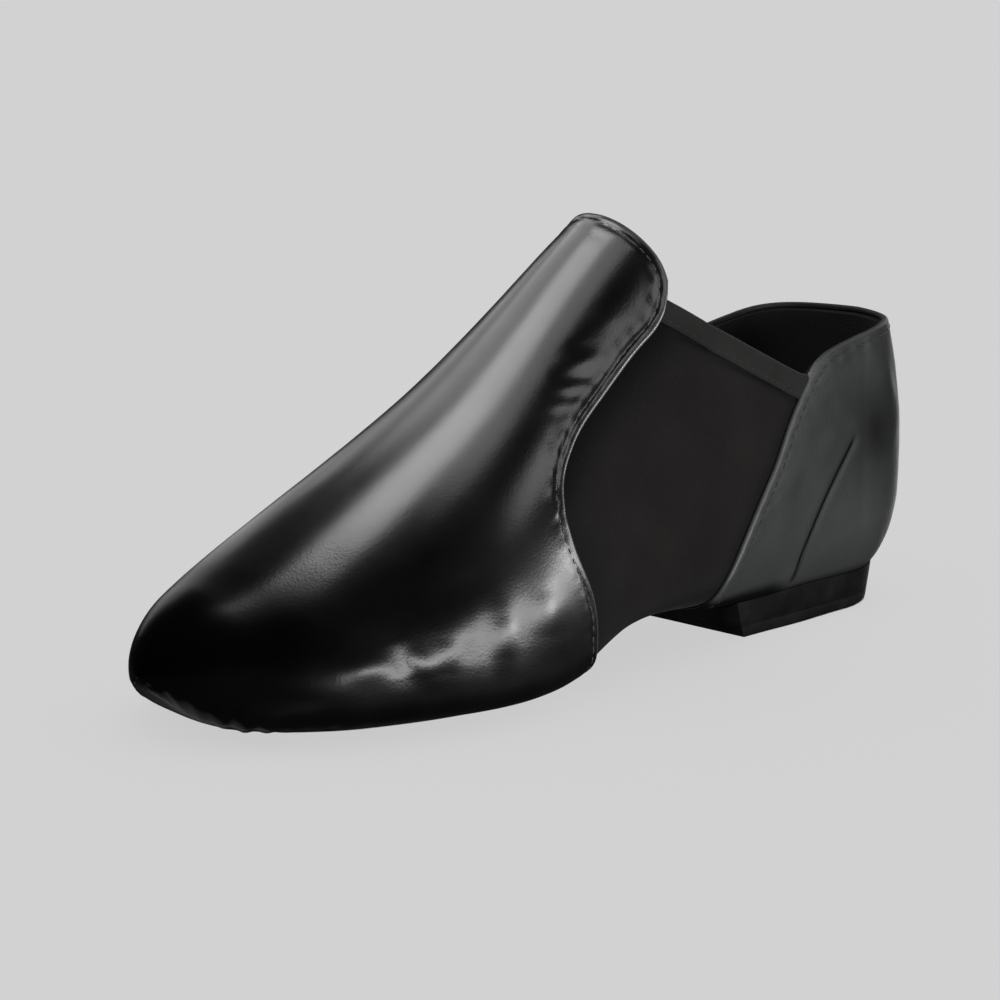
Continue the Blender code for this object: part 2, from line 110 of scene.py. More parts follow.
COLLAR_REAR = (
    (70.2, 72.6), (73.4, 75.3), (79.0, 77.7), (88.0, 79.6), (101.8, 81.8),
    (125.0, 82.6), (FAN + FAN_TURN, 82.8),
)
DART = (
    (87.9, 51.4), (82.2, 44.8), (75.7, 36.7), (70.4, 28.7), (67.6, 22.0),
    (67.9, 14.0),
)
RING_LEAN = -2.0
LEAN_FADES_BY = 0.6

# Fine meshes: cells along the foot and round the section, and steps in from a hem
CURVE_SAMPLES = 400
COLLAR_SAMPLES = 240
EDGE_SAMPLES = 900
CELLS_TOE = 86
CELLS_TONGUE = 58
CELLS_HEEL = 96
CELLS_HEEL_SIDE = 92
CELLS_HEEL_LINING = 44
CELLS_GORE = 44
CELLS_SIDE = 64
CELLS_INSTEP = 40
HEM_STEPS = (0.0, 0.12, 0.3, 0.55, 0.85, 1.2, 1.6, 2.0, 2.3, 2.6, 2.9, 3.3, 3.9, 4.7, 5.8, 7.2)

# Depths under the surface of the last
LEATHER_IN = -1.0
GORE_OUT = -1.3
GORE_IN = -2.3
LINING_OUT = -1.08
LINING_OVER_GORE = -2.36
LINING_IN = -2.75
SOCK_OUT = -3.0
SOCK_IN = -4.8
GORE_UNDERLAP = 5.0
TURNED_EDGE = 1.3
TURNED_IN = -1.7

# A folded and stitched leather edge: distance from the edge and height over the surface
VAMP_HEM = (
    (0.0, -0.50), (0.12, -0.20), (0.3, 0.00), (0.55, 0.13), (0.9, 0.20),
    (1.6, 0.22), (2.1, 0.14), (2.55, 0.00), (3.0, 0.07), (3.7, 0.14),
    (4.8, 0.08), (6.2, 0.0), (8.0, 0.0),
)
COUNTER_HEM = (
    (0.0, -0.50), (0.12, -0.24), (0.3, -0.06), (0.55, 0.06), (0.9, 0.13),
    (1.6, 0.16), (2.55, 0.11), (3.4, 0.10), (4.6, 0.05), (6.2, 0.0),
    (8.0, 0.0),
)
STITCH_IN = 2.55
PUCKER_PITCH = 6.4
PUCKER_HEIGHT = 0.07
PUCKER_WIDTH = 2.2
PUCKER_FROM_EDGE = 3.2


def smooth_curve(xs, ys):
    """A natural cubic through the given points, held at its ends."""
    xs = np.asarray(xs, float)
    ys = np.asarray(ys, float)
    count = len(xs)
    step = np.diff(xs)
    matrix = np.eye(count)
    right = np.zeros(count)
    for i in range(1, count - 1):
        matrix[i, i - 1:i + 2] = step[i - 1], 2 * (step[i - 1] + step[i]), step[i]
        right[i] = 6 * ((ys[i + 1] - ys[i]) / step[i] - (ys[i] - ys[i - 1]) / step[i - 1])
    bend = np.linalg.solve(matrix, right)

    def value(x):
        x = np.clip(np.asarray(x, float), xs[0], xs[-1])
        i = np.clip(np.searchsorted(xs, x) - 1, 0, count - 2)
        t = x - xs[i]
        slope = (ys[i + 1] - ys[i]) / step[i] - step[i] * (2 * bend[i] + bend[i + 1]) / 6
        return ys[i] + t * (slope + t * (bend[i] / 2 + t * (bend[i + 1] - bend[i]) / (6 * step[i])))

    return value


def columns_of(rows, names):
    """A smooth curve for each named column of a table, over its first column."""
    table = np.array(rows, float)
    return {name: smooth_curve(table[:, 0], table[:, i]) for i, name in enumerate(names) if i}


SHAPE = columns_of(SECTIONS, SECTION_COLUMNS)
SHAPE.update(columns_of(UNDER, UNDER_COLUMNS))


def toe_cap(y, start, power):
    """1 behind the start of the toe's rounding, falling to 0 at the toe's tip."""
    share = np.clip((start - y) / (start - TOE), 0, 1)
    return (1 - share ** power) ** (1 / power)


def half_width(y, side):
    """Half width of the foot at y, to the lateral side (+1) or the medial side (-1)."""
    width = np.where(side > 0, SHAPE["lateral"](y), SHAPE["medial"](y))
    return width * toe_cap(y, TOE_PLAN_FROM, 2.0)


def last_point(u, angle, side):
    """The place on the last's surface, in millimetres."""
    u, angle, side = np.broadcast_arrays(np.asarray(u, float), np.asarray(angle, float), side)
    turn = np.radians(angle)
    y = np.minimum(u, FAN)
    round_back = np.clip((u - FAN) / FAN_TURN, 0, 1) * np.pi / 2
    above = angle >= 0
    high = np.sin(np.maximum(turn, 0)) ** (2 / SHAPE["fullness"](y))
    low = np.sin(np.maximum(-turn, 0)) ** (2 / SHAPE["squareness"](y))
    power = np.where(above, SHAPE["fullness"](y), SHAPE["squareness"](y))
    across = np.abs(np.cos(turn)) ** (2 / power)
    side_cap = toe_cap(y, TOE_SIDE_FROM, TOE_SIDE_POWER)
    girdle = SHAPE["girdle"](y)
    z = girdle + side_cap * ((SHAPE["ridge"](y) - girdle) * high - (girdle - SHAPE["floor"](y)) * low)
    depth = HEEL_ROUND * np.where(above, 1 - HEEL_LEAN * high ** 2, across)
    x = SHAPE["axis"](y) + side * half_width(y, side) * across * np.cos(round_back) ** (2 / HEEL_POWER)
    return np.stack([x, y + depth * np.sin(round_back) ** (2 / HEEL_POWER), z], -1)


def last_slopes(u, angle, side):
    """How a place on the surface moves per millimetre of u and per degree of angle."""
    u = np.clip(np.asarray(u, float), TOE + 0.3, FAN + FAN_TURN - 0.3)
    angle = np.clip(np.asarray(angle, float), -89.2, 89.2)
    along = (last_point(u + 0.25, angle, side) - last_point(u - 0.25, angle, side)) / 0.5
    round_it = (last_point(u, angle + 0.6, side) - last_point(u, angle - 0.6, side)) / 1.2
    return along, round_it


def unit(vectors):
    return vectors / np.maximum(np.linalg.norm(vectors, axis=-1, keepdims=True), 1e-9)


def last_normal(u, angle, side):
    """The outward direction of the surface at a place on it."""
    along, round_it = last_slopes(u, angle, side)
    return unit(np.cross(along, round_it) * np.asarray(side, float)[..., None])


def angle_at(u, z):
    """The angle at which the surface has a given height, at distance u."""
    y = np.minimum(u, FAN)
    girdle = SHAPE["girdle"](y)
    high = np.clip((z - girdle) / (SHAPE["ridge"](y) - girdle), 0, 1)
    low = np.clip((girdle - z) / (girdle - SHAPE["floor"](y)), 0, 1)
    up = np.degrees(np.arcsin(high ** (SHAPE["fullness"](y) / 2)))
    down = np.degrees(np.arcsin(low ** (SHAPE["squareness"](y) / 2)))
    return np.where(z >= girdle, up, -down)


def underside(x, y):
    """The height of the last's underside over a point of the floor plan."""
    section = np.minimum(y, FAN)
    power = SHAPE["squareness"](section)
    side = np.where(x >= SHAPE["axis"](section), 1, -1)
    across = np.abs(x - SHAPE["axis"](section)) / half_width(section, side)
    behind = np.maximum(y - FAN, 0) / HEEL_ROUND
    reach = np.clip(across ** HEEL_POWER + behind ** HEEL_POWER, 0, 1) ** (1 / HEEL_POWER)
    girdle = SHAPE["girdle"](section)
    drop = (girdle - SHAPE["floor"](section)) * toe_cap(section, TOE_SIDE_FROM, TOE_SIDE_POWER)
    return girdle - drop * (1 - reach ** power) ** (1 / power)


def edge_curve(rows, samples=300):
    """A smooth edge through a table of distances and heights, as places (u, angle)."""
    table = np.array(rows, float)
    run = np.concatenate([[0], np.cumsum(np.hypot(*np.diff(table, axis=0).T))])
    at = np.linspace(0, run[-1], samples)
    u = smooth_curve(run, table[:, 0])(at)
    z = smooth_curve(run, table[:, 1])(at)
    return np.stack([u, angle_at(u, z)], -1)


def from_bottom(curve, samples=100):
    """The curve with its run under the foot put before it, from the bottom centre."""
    share = np.linspace(0, 1, samples, endpoint=False)[:, None]
    first = np.array([[curve[0, 0], -90.0]])
    return np.concatenate([first + share * (curve[:1] - first), curve])


def measure(curve, side=1):
    """Running length along a curve on the last."""
    points = last_point(curve[:, 0], curve[:, 1], side)
    return np.concatenate([[0], np.cumsum(np.linalg.norm(np.diff(points, axis=0), axis=1))])


def stations(length, cells, hem_start=False, hem_end=False):
    """Running places along a stretch, close together where it ends in a hem."""
    steps = np.array(HEM_STEPS) * min(1.0, length / (2.5 * HEM_STEPS[-1]))
    first = steps if hem_start else steps[:1]
    last = length - (steps if hem_end else steps[:1])[::-1]
    return np.concatenate([first, np.linspace(first[-1], last[0], cells + 1)[1:-1], last])


def at_run(curve, run, at):
    """Places on a curve at given running lengths."""
    return np.stack([np.interp(at, run, curve[:, i]) for i in (0, 1)], -1)


def split(curve, cells, hem_start=False, hem_end=False):
    """Places that split a curve into cells."""
    run = measure(curve)
    return at_run(curve, run, stations(run[-1], cells, hem_start, hem_end))


def same_count(curve):
    """The curve at evenly spaced lengths, so that two curves can be blended."""
    run = measure(curve)
    return at_run(curve, run, np.linspace(0, run[-1], CURVE_SAMPLES))


def blended(first, second, share, low_end=None, high_end=None):
    """A curve between two curves, its ends moved onto given places."""
    curve = (1 - share) * first + share * second
    along = np.linspace(0, 1, len(curve))[:, None]
    if high_end is not None:
        curve = curve + along ** 2 * (high_end - curve[-1])
    if low_end is not None:
        curve = curve + (1 - along) ** 2 * (low_end - curve[0])
    return curve


def straight_row(top):
    """A row of constant distance from the bottom centre to its top place."""
    angle = np.linspace(-90, top[1], CURVE_SAMPLES)
    return same_count(np.stack([np.full_like(angle, top[0]), angle], -1))


def collar_height(u, depth=0.0):
    """The collar's height, carried on forward under the vamp's edge."""
    collar = np.array(COLLAR, float)
    slope = (collar[0, 1] - collar[1, 1]) / (collar[1, 0] - collar[0, 0])
    ahead = np.maximum(collar[0, 0] - u, 0)
    over_gore = np.interp(u, collar[:, 0], collar[:, 1]) + ahead * slope
    rear = smooth_curve(*np.array(COLLAR_REAR).T)(u)
    return np.where(u > COLLAR_REAR[0][0], rear, over_gore) - depth


def tape_height(u, depth=0.0):
    """The collar's height over the gore, level from its lowest place to the counter."""
    return collar_height(np.minimum(u, TAPE_DIP), depth)


def place_at(u, height):
    """The place at distance u where the surface has a given height."""
    return np.array([u, float(angle_at(u, height))])


VAMP_LOW = same_count(from_bottom(edge_curve(VAMP_EDGE_LOW)))
VAMP_HIGH = edge_curve(VAMP_EDGE_HIGH)
TONGUE = same_count(edge_curve(TONGUE_TOP))
TONGUE[-1, 1] = 90.0
COUNTER = same_count(from_bottom(edge_curve(COUNTER_EDGE)))
COLLAR_BACK = np.array([place_at(u, collar_height(u))
                        for u in np.linspace(COUNTER_EDGE[-1][0], FAN + FAN_TURN, COLLAR_SAMPLES)])


def vamp_grids():
    """The vamp's two grids of places: the toe with the ball, then the tongue."""
    apex = VAMP_LOW[-1]
    over = np.linspace(0, 1, CURVE_SAMPLES)[:, None]
    ring_high = same_count(apex + over * (np.array([apex[0] + RING_LEAN, 90.0]) - apex))
    ring = np.concatenate([split(VAMP_LOW, CELLS_SIDE),
                           split(ring_high, CELLS_INSTEP, hem_start=True)[1:]])
    toe = []
    for i in range(CELLS_TOE):
        step = i / CELLS_TOE
        row = ring.copy()
        start = ring[:, 0] - HEM_STEPS[-1]
        row[:, 0] = TOE + (start - TOE) * step ** 2 * (1.5 - 0.5 * step)
        toe.append(row)
    for step in HEM_STEPS[::-1]:
        row = ring.copy()
        row[:, 0] -= step
        toe.append(row)

    run = measure(VAMP_HIGH)
    tongue = []
    for at in stations(run[-1], CELLS_TONGUE, hem_end=True):
        row = blended(ring_high, TONGUE, at / run[-1], low_end=at_run(VAMP_HIGH, run, [at])[0])
        tongue.append(split(row, CELLS_INSTEP, hem_start=True))
    return [np.array(toe), np.array(tongue)]


def counter_grid(cells_along, cells_up):
    """The heel counter's grid of places, from its front edge to the back."""
    start = COUNTER_EDGE[-1][0]
    reach = FAN + FAN_TURN - start
    rows = []
    for at in stations(reach, cells_along, hem_start=True):
        top = place_at(start + at, collar_height(start + at))
        lean = max(0.0, 1 - at / reach / LEAN_FADES_BY)
        row = blended(straight_row(top), COUNTER + [at, 0], lean, high_end=top)
        rows.append(split(row, cells_up, hem_end=True))
    return np.array(rows)


def gore_grid():
    """One band of elastic, from under the arch up to the collar, tucked under both leathers."""
    tuck = np.array([GORE_UNDERLAP, 0])
    front = same_count(np.concatenate([VAMP_LOW, edge_curve(VAMP_EDGE_HIGH[:-1])[1:]]) - tuck)
    rear = COUNTER + tuck
    rows = []
    for share in np.linspace(0, 1, CELLS_GORE + 1):
        u = front[-1, 0] + share * (rear[-1, 0] - front[-1, 0])
        top = place_at(u, tape_height(u))
        rows.append(split(blended(front, rear, share, high_end=top), CELLS_SIDE))
    return np.array(rows)


def weld(grids):
    """Welded corners and quads of grids of places, on both sides of the foot."""
    places = []
    quads = []
    for side in (1, -1):
        for grid in grids:
            start = sum(len(p) for p in places)
            rows, columns = grid.shape[:2]
            flat = grid.reshape(-1, 2)
            places.append(np.column_stack([flat, np.full(len(flat), side)]))
            index = start + np.arange(rows * columns).reshape(rows, columns)
            loop = np.stack([index[:-1, :-1], index[1:, :-1], index[1:, 1:], index[:-1, 1:]], -1)
            quads.append(loop.reshape(-1, 4)[:, ::side])
    places = np.concatenate(places)
    quads = np.concatenate(quads)
    spots = last_point(places[:, 0], places[:, 1], places[:, 2])
    keys, first, owner = np.unique(
        np.round(spots, 2), axis=0, return_index=True, return_inverse=True)
    owner = owner.ravel()
    normals = np.zeros((len(keys), 3))
    np.add.at(normals, owner, last_normal(places[:, 0], places[:, 1], places[:, 2]))
    faces = []
    for loop in owner[quads]:
        loop = [int(v) for n, v in enumerate(loop) if v != loop[n - 1]]
        if len(set(loop)) > 2:
            faces.append(loop)
    return {"place": places[first], "point": spots[first], "normal": unit(normals), "faces": faces}


def distance_to(points, lines):
    """Distance from each point to the nearest of some sampled lines."""
    line = np.concatenate(lines)
    tree = KDTree(len(line))
    for n, point in enumerate(line):
        tree.insert(point, n)
    tree.balance()
    return np.array([tree.find(point)[2] for point in points])


def both_sides(curve):
    """A curve on the last as dense points on both sides of the foot."""
    run = measure(curve)
    places = at_run(curve, run, np.linspace(0, run[-1], EDGE_SAMPLES))
    return [last_point(places[:, 0], places[:, 1], side) for side in (1, -1)]


def slope(values, low, high):
    """0 below the low value and 1 above the high one, straight between."""
    return np.clip((values - low) / (high - low), 0, 1)


def ramp(values, low, high):
    """0 below the low value and 1 above the high one, turning smoothly between."""
    share = slope(values, low, high)
    return share * share * (3 - 2 * share)


def bell(values, width, centre=0.0):
    """1 at the centre, falling off smoothly over a width on each side."""
    return np.exp(-((values - centre) / width) ** 2)


def close_piece(skin, outer, inner):
    """Corners and faces of a wall between two offsets from a welded sheet, closed at its rims."""
    faces = skin["faces"]
    count = len(skin["point"])
    points = np.concatenate([skin["point"] + skin["normal"] * outer[:, None],
                             skin["point"] + skin["normal"] * inner[:, None]])
    loops = faces + [[v + count for v in reversed(loop)] for loop in faces]
    edges = {(loop[n - 1], loop[n]) for loop in faces for n in range(len(loop))}
    for a, b in sorted(edge for edge in edges if (edge[1], edge[0]) not in edges):
        loops.append([b, a, a + count, b + count])
    return points, loops


def make_mesh(name, points, loops, material, slot, replaces=(), marks=None, sharp=50):
    """A named piece on the shoe's one body, in metres and centred as the CAD is."""
    mesh = bpy.data.meshes.new(name)
    shifted = (np.asarray(points, float) + [CENTRE_SHIFT, 0, 0]) * MM
    mesh.from_pydata(shifted.tolist(), [], [list(loop) for loop in loops])
    work = bmesh.new()
    work.from_mesh(mesh)
    bmesh.ops.recalc_face_normals(work, faces=work.faces)
    work.to_mesh(mesh)
    work.free()
    for mark, values in (marks or {}).items():
        layer = mesh.attributes.new(mark, "FLOAT", "POINT")
        layer.data.foreach_set("value", np.asarray(values, np.float32))
    mesh.shade_smooth()
    mesh.set_sharp_from_angle(angle=np.radians(sharp))
    mesh.materials.append(material)
    piece = bpy.data.objects.new(name, mesh)
    (GLOSSY if material in (GLOSS_LEATHER, VAMP_THREAD) else REST).objects.link(piece)
    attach(piece, "root")
    if replaces:
        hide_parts(*replaces)
    return piece


# Soft troughs and ridges, each between two ends on one side of the foot
CREASE_COLUMNS = ("side", "first y", "first z", "second y", "second z", "half width", "height")
CREASES = (
    (1, -77.6, 25.5, -76.0, 17.5, 2.9, -0.50),
    (1, -74.6, 24.0, -69.2, 16.5, 2.6, 0.40),
    (1, -88.5, 19.5, -80.0, 21.5, 3.6, 0.45),
    (1, -66.5, 17.0, -65.5, 25.5, 3.6, 0.38),
    (1, -60.8, 18.0, -60.0, 26.0, 2.6, -0.24),
    (1, -55.0, 31.0, -55.4, 17.5, 2.4, -0.36),
    (1, -50.5, 18.5, -49.5, 29.0, 3.2, 0.45),
    (1, -44.8, 33.0, -45.5, 20.0, 3.0, -0.26),
    (1, -36.5, 22.0, -34.5, 33.0, 5.0, 0.55),
    (1, -92.0, 24.0, -76.0, 31.0, 4.5, -0.40),
    (1, -72.0, 33.0, -52.0, 39.0, 5.0, -0.45),
    (-1, -72.0, 30.0, -69.0, 17.0, 3.4, -0.36),
    (-1, -65.0, 29.0, -62.0, 16.0, 3.4, 0.26),
    (-1, -57.0, 32.0, -55.5, 18.0, 3.2, -0.32),
    (-1, -49.5, 31.0, -48.0, 18.0, 3.6, 0.24),
    (-1, -42.0, 34.0, -41.0, 20.0, 3.4, -0.26),
    (-1, -84.0, 25.0, -62.0, 36.0, 5.0, -0.40),
    (1, -9.5, 86.8, -1.2, 87.2, 1.5, -0.17),
    (1, -12.0, 83.4, -2.5, 84.0, 1.5, 0.15),
    (1, -15.0, 79.9, -4.6, 80.4, 1.5, -0.20),
    (1, -17.0, 78.0, -6.5, 78.2, 1.4, 0.15),
    (1, -18.5, 76.4, -8.6, 75.9, 1.4, -0.20),
    (1, -20.5, 74.6, -10.5, 74.0, 1.4, 0.14),
    (1, -22.2, 72.8, -12.0, 72.3, 1.4, -0.16),
    (1, 0.0, 92.0, 6.0, 93.5, 1.8, 0.14),
    (-1, -10.0, 86.0, -2.0, 87.4, 1.4, -0.32),
    (-1, -13.0, 82.2, -3.6, 83.0, 1.5, 0.28),
    (-1, -16.0, 78.2, -5.6, 78.8, 1.4, -0.34),
    (-1, -20.0, 73.6, -9.6, 73.4, 1.4, -0.30),
)
COUNTER_CREASES = (
    (1, 97.5, 74.0, 96.0, 50.0, 5.5, -0.55),
    (1, 106.0, 72.0, 112.0, 60.0, 3.0, -0.40),
    (1, 110.0, 56.0, 104.0, 46.0, 4.0, 0.35),
    (1, 82.0, 60.0, 76.0, 48.0, 5.0, 0.30),
    (1, 60.0, 48.0, 56.0, 26.0, 5.0, 0.30),
    (-1, 98.0, 70.0, 94.0, 48.0, 5.0, -0.50),
    (-1, 108.0, 66.0, 111.0, 52.0, 3.5, -0.35),
    (-1, 74.0, 56.0, 66.0, 36.0, 5.5, 0.30),
)


CREASE_END = 0.35
ROLL_WAVES = 7
ROLL_GAIN = 1.6
ROLL_PITCHES = (0.7, 1.6)


def crease_height(skin, rows):
    """The sum of the soft troughs and ridges at each corner of a sheet."""
    y, z = skin["point"][:, 1], skin["point"][:, 2]
    side = skin["place"][:, 2]
    total = np.zeros(len(y))
    for row in rows:
        which, y_a, z_a, y_b, z_b, width, height = row
        assert len(row) == len(CREASE_COLUMNS)
        line = np.array([y_b - y_a, z_b - z_a])
        held = np.clip(((y - y_a) * line[0] + (z - z_a) * line[1]) / (line @ line), 0, 1)
        gap = np.hypot(y - y_a - held * line[0], z - z_a - held * line[1])
        swell = CREASE_END + (1 - CREASE_END) * np.sin(np.pi * held)
        total += np.where(side == which, height * swell * bell(gap, width), 0)
    return total


def rolling(points, height, pitch, seed):
    """Slow random-looking swells of about a height, from a few crossed waves."""
    chance = np.random.default_rng(seed)
    total = np.zeros(len(points))
    for _ in range(ROLL_WAVES):
        heading = unit(chance.normal(size=3))
        wave = 2 * np.pi / (pitch * chance.uniform(*ROLL_PITCHES))
        total += np.sin(points @ heading * wave + chance.uniform(0, 2 * np.pi))
    return height * total / ROLL_WAVES * ROLL_GAIN


PLEAT_HEIGHT = 0.40
PLEAT_CENTRE = (-7.4, -92.0)
PLEAT_TURN = 10.5
PLEAT_WANDER = 3.0
PLEAT_FADE_TURN = 47.0
PLEAT_UNDER = (8.0, 34.0)
PLEAT_MIDDLE = (-68.0, -54.0)
PLEAT_AHEAD = (76.0, 90.0)
TOE_SWELL = 2.0
TOE_SWELL_TOP = 14.0
TOE_SWELL_RISE = 7.0
TOE_SWELL_AHEAD = (90.0, 107.0)
TOE_SWELL_TIP = (111.0, 120.0)
TOE_SWELL_LOSS = 0.75


def toe_pleats(skin):
    """Small folds where the leather is gathered in under the toe."""
    point = skin["point"]
    angle = skin["place"][:, 1]
    turn = np.degrees(np.arctan2(point[:, 0] - PLEAT_CENTRE[0], PLEAT_CENTRE[1] - point[:, 1]))
    wander = PLEAT_WANDER * np.sin(np.radians(turn * 3.1 + 20))
    wave = np.sin(np.radians((turn + wander) * 360 / PLEAT_TURN))
    share = 0.7 + 0.3 * np.sin(np.radians(turn * 360 / PLEAT_FADE_TURN + 40))
    under = slope(-angle, *PLEAT_UNDER) * slope(angle, *PLEAT_MIDDLE)
    return PLEAT_HEIGHT * wave * share * under ** 1.2 * slope(-point[:, 1], *PLEAT_AHEAD)


def toe_swell(skin):
    """The gathered leather standing out a little under the toe."""
    ahead = -skin["point"][:, 1]
    share = ramp(ahead, *TOE_SWELL_AHEAD) * (1 - TOE_SWELL_LOSS * ramp(ahead, *TOE_SWELL_TIP))
    return TOE_SWELL * share * ramp(TOE_SWELL_TOP - skin["point"][:, 2], 0.0, TOE_SWELL_RISE)


def hem_height(skin, distance, rows):
    """The folded edge's lip, its stitched groove and the puckers along it."""
    profile = smooth_curve(*np.array(rows).T)
    y, z = skin["point"][:, 1], skin["point"][:, 2]
    pucker = np.sin(2 * np.pi * (y + 0.7 * z) / PUCKER_PITCH)
    pucker += 0.6 * np.sin(2 * np.pi * (z - 0.5 * y) / (PUCKER_PITCH * 0.63) + 1.0)
    return profile(distance) + PUCKER_HEIGHT * pucker * bell(distance, PUCKER_WIDTH, PUCKER_FROM_EDGE)


VAMP_EDGES = both_sides(VAMP_LOW) + both_sides(VAMP_HIGH) + both_sides(TONGUE)
COUNTER_EDGES = both_sides(COUNTER) + both_sides(COLLAR_BACK)
COLLAR_EDGES = both_sides(COLLAR_BACK)
DART_CURVE = edge_curve(DART)

# Distances from a hem over which creases and swells grow to their full height
VAMP_CALM = (2.0, 7.0)
COUNTER_CALM = (1.5, 5.5)
# A seam: depth and half width of its trough, then height, half width and distance of its shoulders
DART_SEAM = (-0.38, 1.1, 0.04, 1.6, 3.2)
BACK_SEAM = (-0.30, 1.2, 0.08, 1.5, 3.0)
# Swells: height, pitch and seed
VAMP_SWELLS = ((0.06, 34.0, 3), (0.012, 10.0, 5))
COUNTER_SWELLS = ((0.13, 24.0, 11), (0.04, 8.0, 12))
FAR_OFF = 99.0


def seam_height(gap, depth, width, shoulder, shoulder_width, shoulder_at):
    """A seam's soft trough, with a soft shoulder on each side."""
    return depth * bell(gap, width) + shoulder * bell(gap, shoulder_width, shoulder_at)


def vamp_surface(skin):
    """How far the vamp's face stands off the last at each corner of a sheet."""
    point = skin["point"]
    distance = distance_to(point, VAMP_EDGES)
    height = crease_height(skin, CREASES) + sum(rolling(point, *row) for row in VAMP_SWELLS)
    height = height * slope(distance, *VAMP_CALM) + toe_pleats(skin) + toe_swell(skin)
    return hem_height(skin, distance, VAMP_HEM) + height, distance


def counter_surface(skin):
    """How far the counter's face stands off the last at each corner of a sheet."""
    point = skin["point"]
    distance = distance_to(point, COUNTER_EDGES)
    to_dart = distance_to(point, both_sides(DART_CURVE))
    to_back = np.where(point[:, 1] > FAN, np.abs(point[:, 0]), FAR_OFF)
    height = seam_height(to_dart, *DART_SEAM) + seam_height(to_back, *BACK_SEAM)
    height += crease_height(skin, COUNTER_CREASES)
    height += sum(rolling(point, *row) for row in COUNTER_SWELLS)
    return hem_height(skin, distance, COUNTER_HEM) + height * slope(distance, *COUNTER_CALM), distance


# Shader helpers

def new_shader(name):
    """A material with its node tree, its main shader and the places on its object."""
    material = bpy.data.materials.new(name)
    material.use_nodes = True
    tree = material.node_tree
    place = node(tree, "ShaderNodeTexCoord").outputs["Object"]
    return material, tree, tree.nodes["Principled BSDF"], place


def node(tree, kind, links=None, **values):
    """A node with its properties, its inputs by name, and its incoming links."""
    made = tree.nodes.new(kind)
    for key, value in values.items():
        if hasattr(made, key):
            setattr(made, key, value)
        else:
            made.inputs[key.replace("_", " ")].default_value = value
    for key, source in (links or {}).items():
        tree.links.new(source, made.inputs[key])
    return made


def span(tree, source, low, high, to_low, to_high):
    """A value moved from one range to another."""
    made = node(tree, "ShaderNodeMapRange", {"Value": source})
    for key, value in (("From Min", low), ("From Max", high), ("To Min", to_low), ("To Max", to_high)):
        made.inputs[key].default_value = value
    return made.outputs["Result"]


def mixed(tree, factor, first, second):
    """A colour between two colours, by a factor from another node."""
    made = node(tree, "ShaderNodeMix", data_type="RGBA")
    tree.links.new(factor, made.inputs[0])
    for socket, color in ((6, first), (7, second)):
        if isinstance(color, bpy.types.NodeSocket):
            tree.links.new(color, made.inputs[socket])
        else:
            made.inputs[socket].default_value = (*color, 1)
    return made.outputs[2]


def bump(tree, height, distance, strength, under=None):
    """A bump in metres, on top of another one."""
    links = {"Height": height}
    if under is not None:
        links["Normal"] = under
    return node(tree, "ShaderNodeBump", links, Distance=distance, Strength=strength).outputs["Normal"]


def noise(tree, place, scale, detail):
    return node(tree, "ShaderNodeTexNoise", {"Vector": place}, Scale=scale, Detail=detail).outputs["Fac"]


def mark(tree, name):
    """The value that a mesh carries at each corner under a name."""
    return node(tree, "ShaderNodeAttribute", attribute_name=name).outputs["Fac"]


def product(tree, first, second):
    return node(tree, "ShaderNodeMath", {0: first, 1: second}, operation="MULTIPLY").outputs[0]


# Near black: what painted shade darkens colours towards, and the colour of the counter's dark dart seams
NEAR_BLACK = (0.0008, 0.0008, 0.0008)
CLOUDS = (0.3, 0.7)
LEATHER_CLOUDS = 45.0
LEATHER_TONES = 0.35
PORES_PER_GRAIN = 2.3
# The dull mark lowers the gloss and darkens the colour, which is painted shade, save along the counter's
# dark dart seams
DULL_GLOSS = 0.22
PAINTED_SHADE_AND_DART_DARKENING = 0.85


def leather(name, dark, light, rough, grain, grain_depth, specular, edge=None):
    """Dyed leather: fine grain, slow changes of colour and gloss, paler folded edges that are partly
    painted light, and dull places darkened by painted shade.
    """
    material, tree, shader, place = new_shader(name)
    cells = node(tree, "ShaderNodeTexVoronoi", {"Vector": place}, Scale=grain).outputs["Distance"]
    pores = noise(tree, place, grain * PORES_PER_GRAIN, 3.0)
    clouds = noise(tree, place, LEATHER_CLOUDS, 3.0)
    color = mixed(tree, span(tree, clouds, *CLOUDS, 0.0, LEATHER_TONES), dark, light)
    shader.inputs["Specular IOR Level"].default_value = specular
    # Painted light: the fold mark mixes in the pale edge colour, partly the folded leather's own paleness;
    # the dull mark paints shade into the colour and lowers the gloss
    if edge:
        dull = mark(tree, "dull")
        paler = mixed(tree, mark(tree, "fold"), color, edge)
        color = mixed(tree, span(tree, dull, 0.0, 1.0, 0.0, PAINTED_SHADE_AND_DART_DARKENING), paler, NEAR_BLACK)
        tree.links.new(span(tree, dull, 0.0, 1.0, specular, specular * DULL_GLOSS),
                       shader.inputs["Specular IOR Level"])
    tree.links.new(color, shader.inputs["Base Color"])
    tree.links.new(span(tree, clouds, *CLOUDS, *rough), shader.inputs["Roughness"])
    grained = bump(tree, pores, grain_depth, 0.2, bump(tree, cells, grain_depth, 0.3))
    tree.links.new(grained, shader.inputs["Normal"])
    return material


LINT_SCALE = 900.0
CLOTH_CLOUDS = 60.0
CLOTH_ROUGH = 0.06


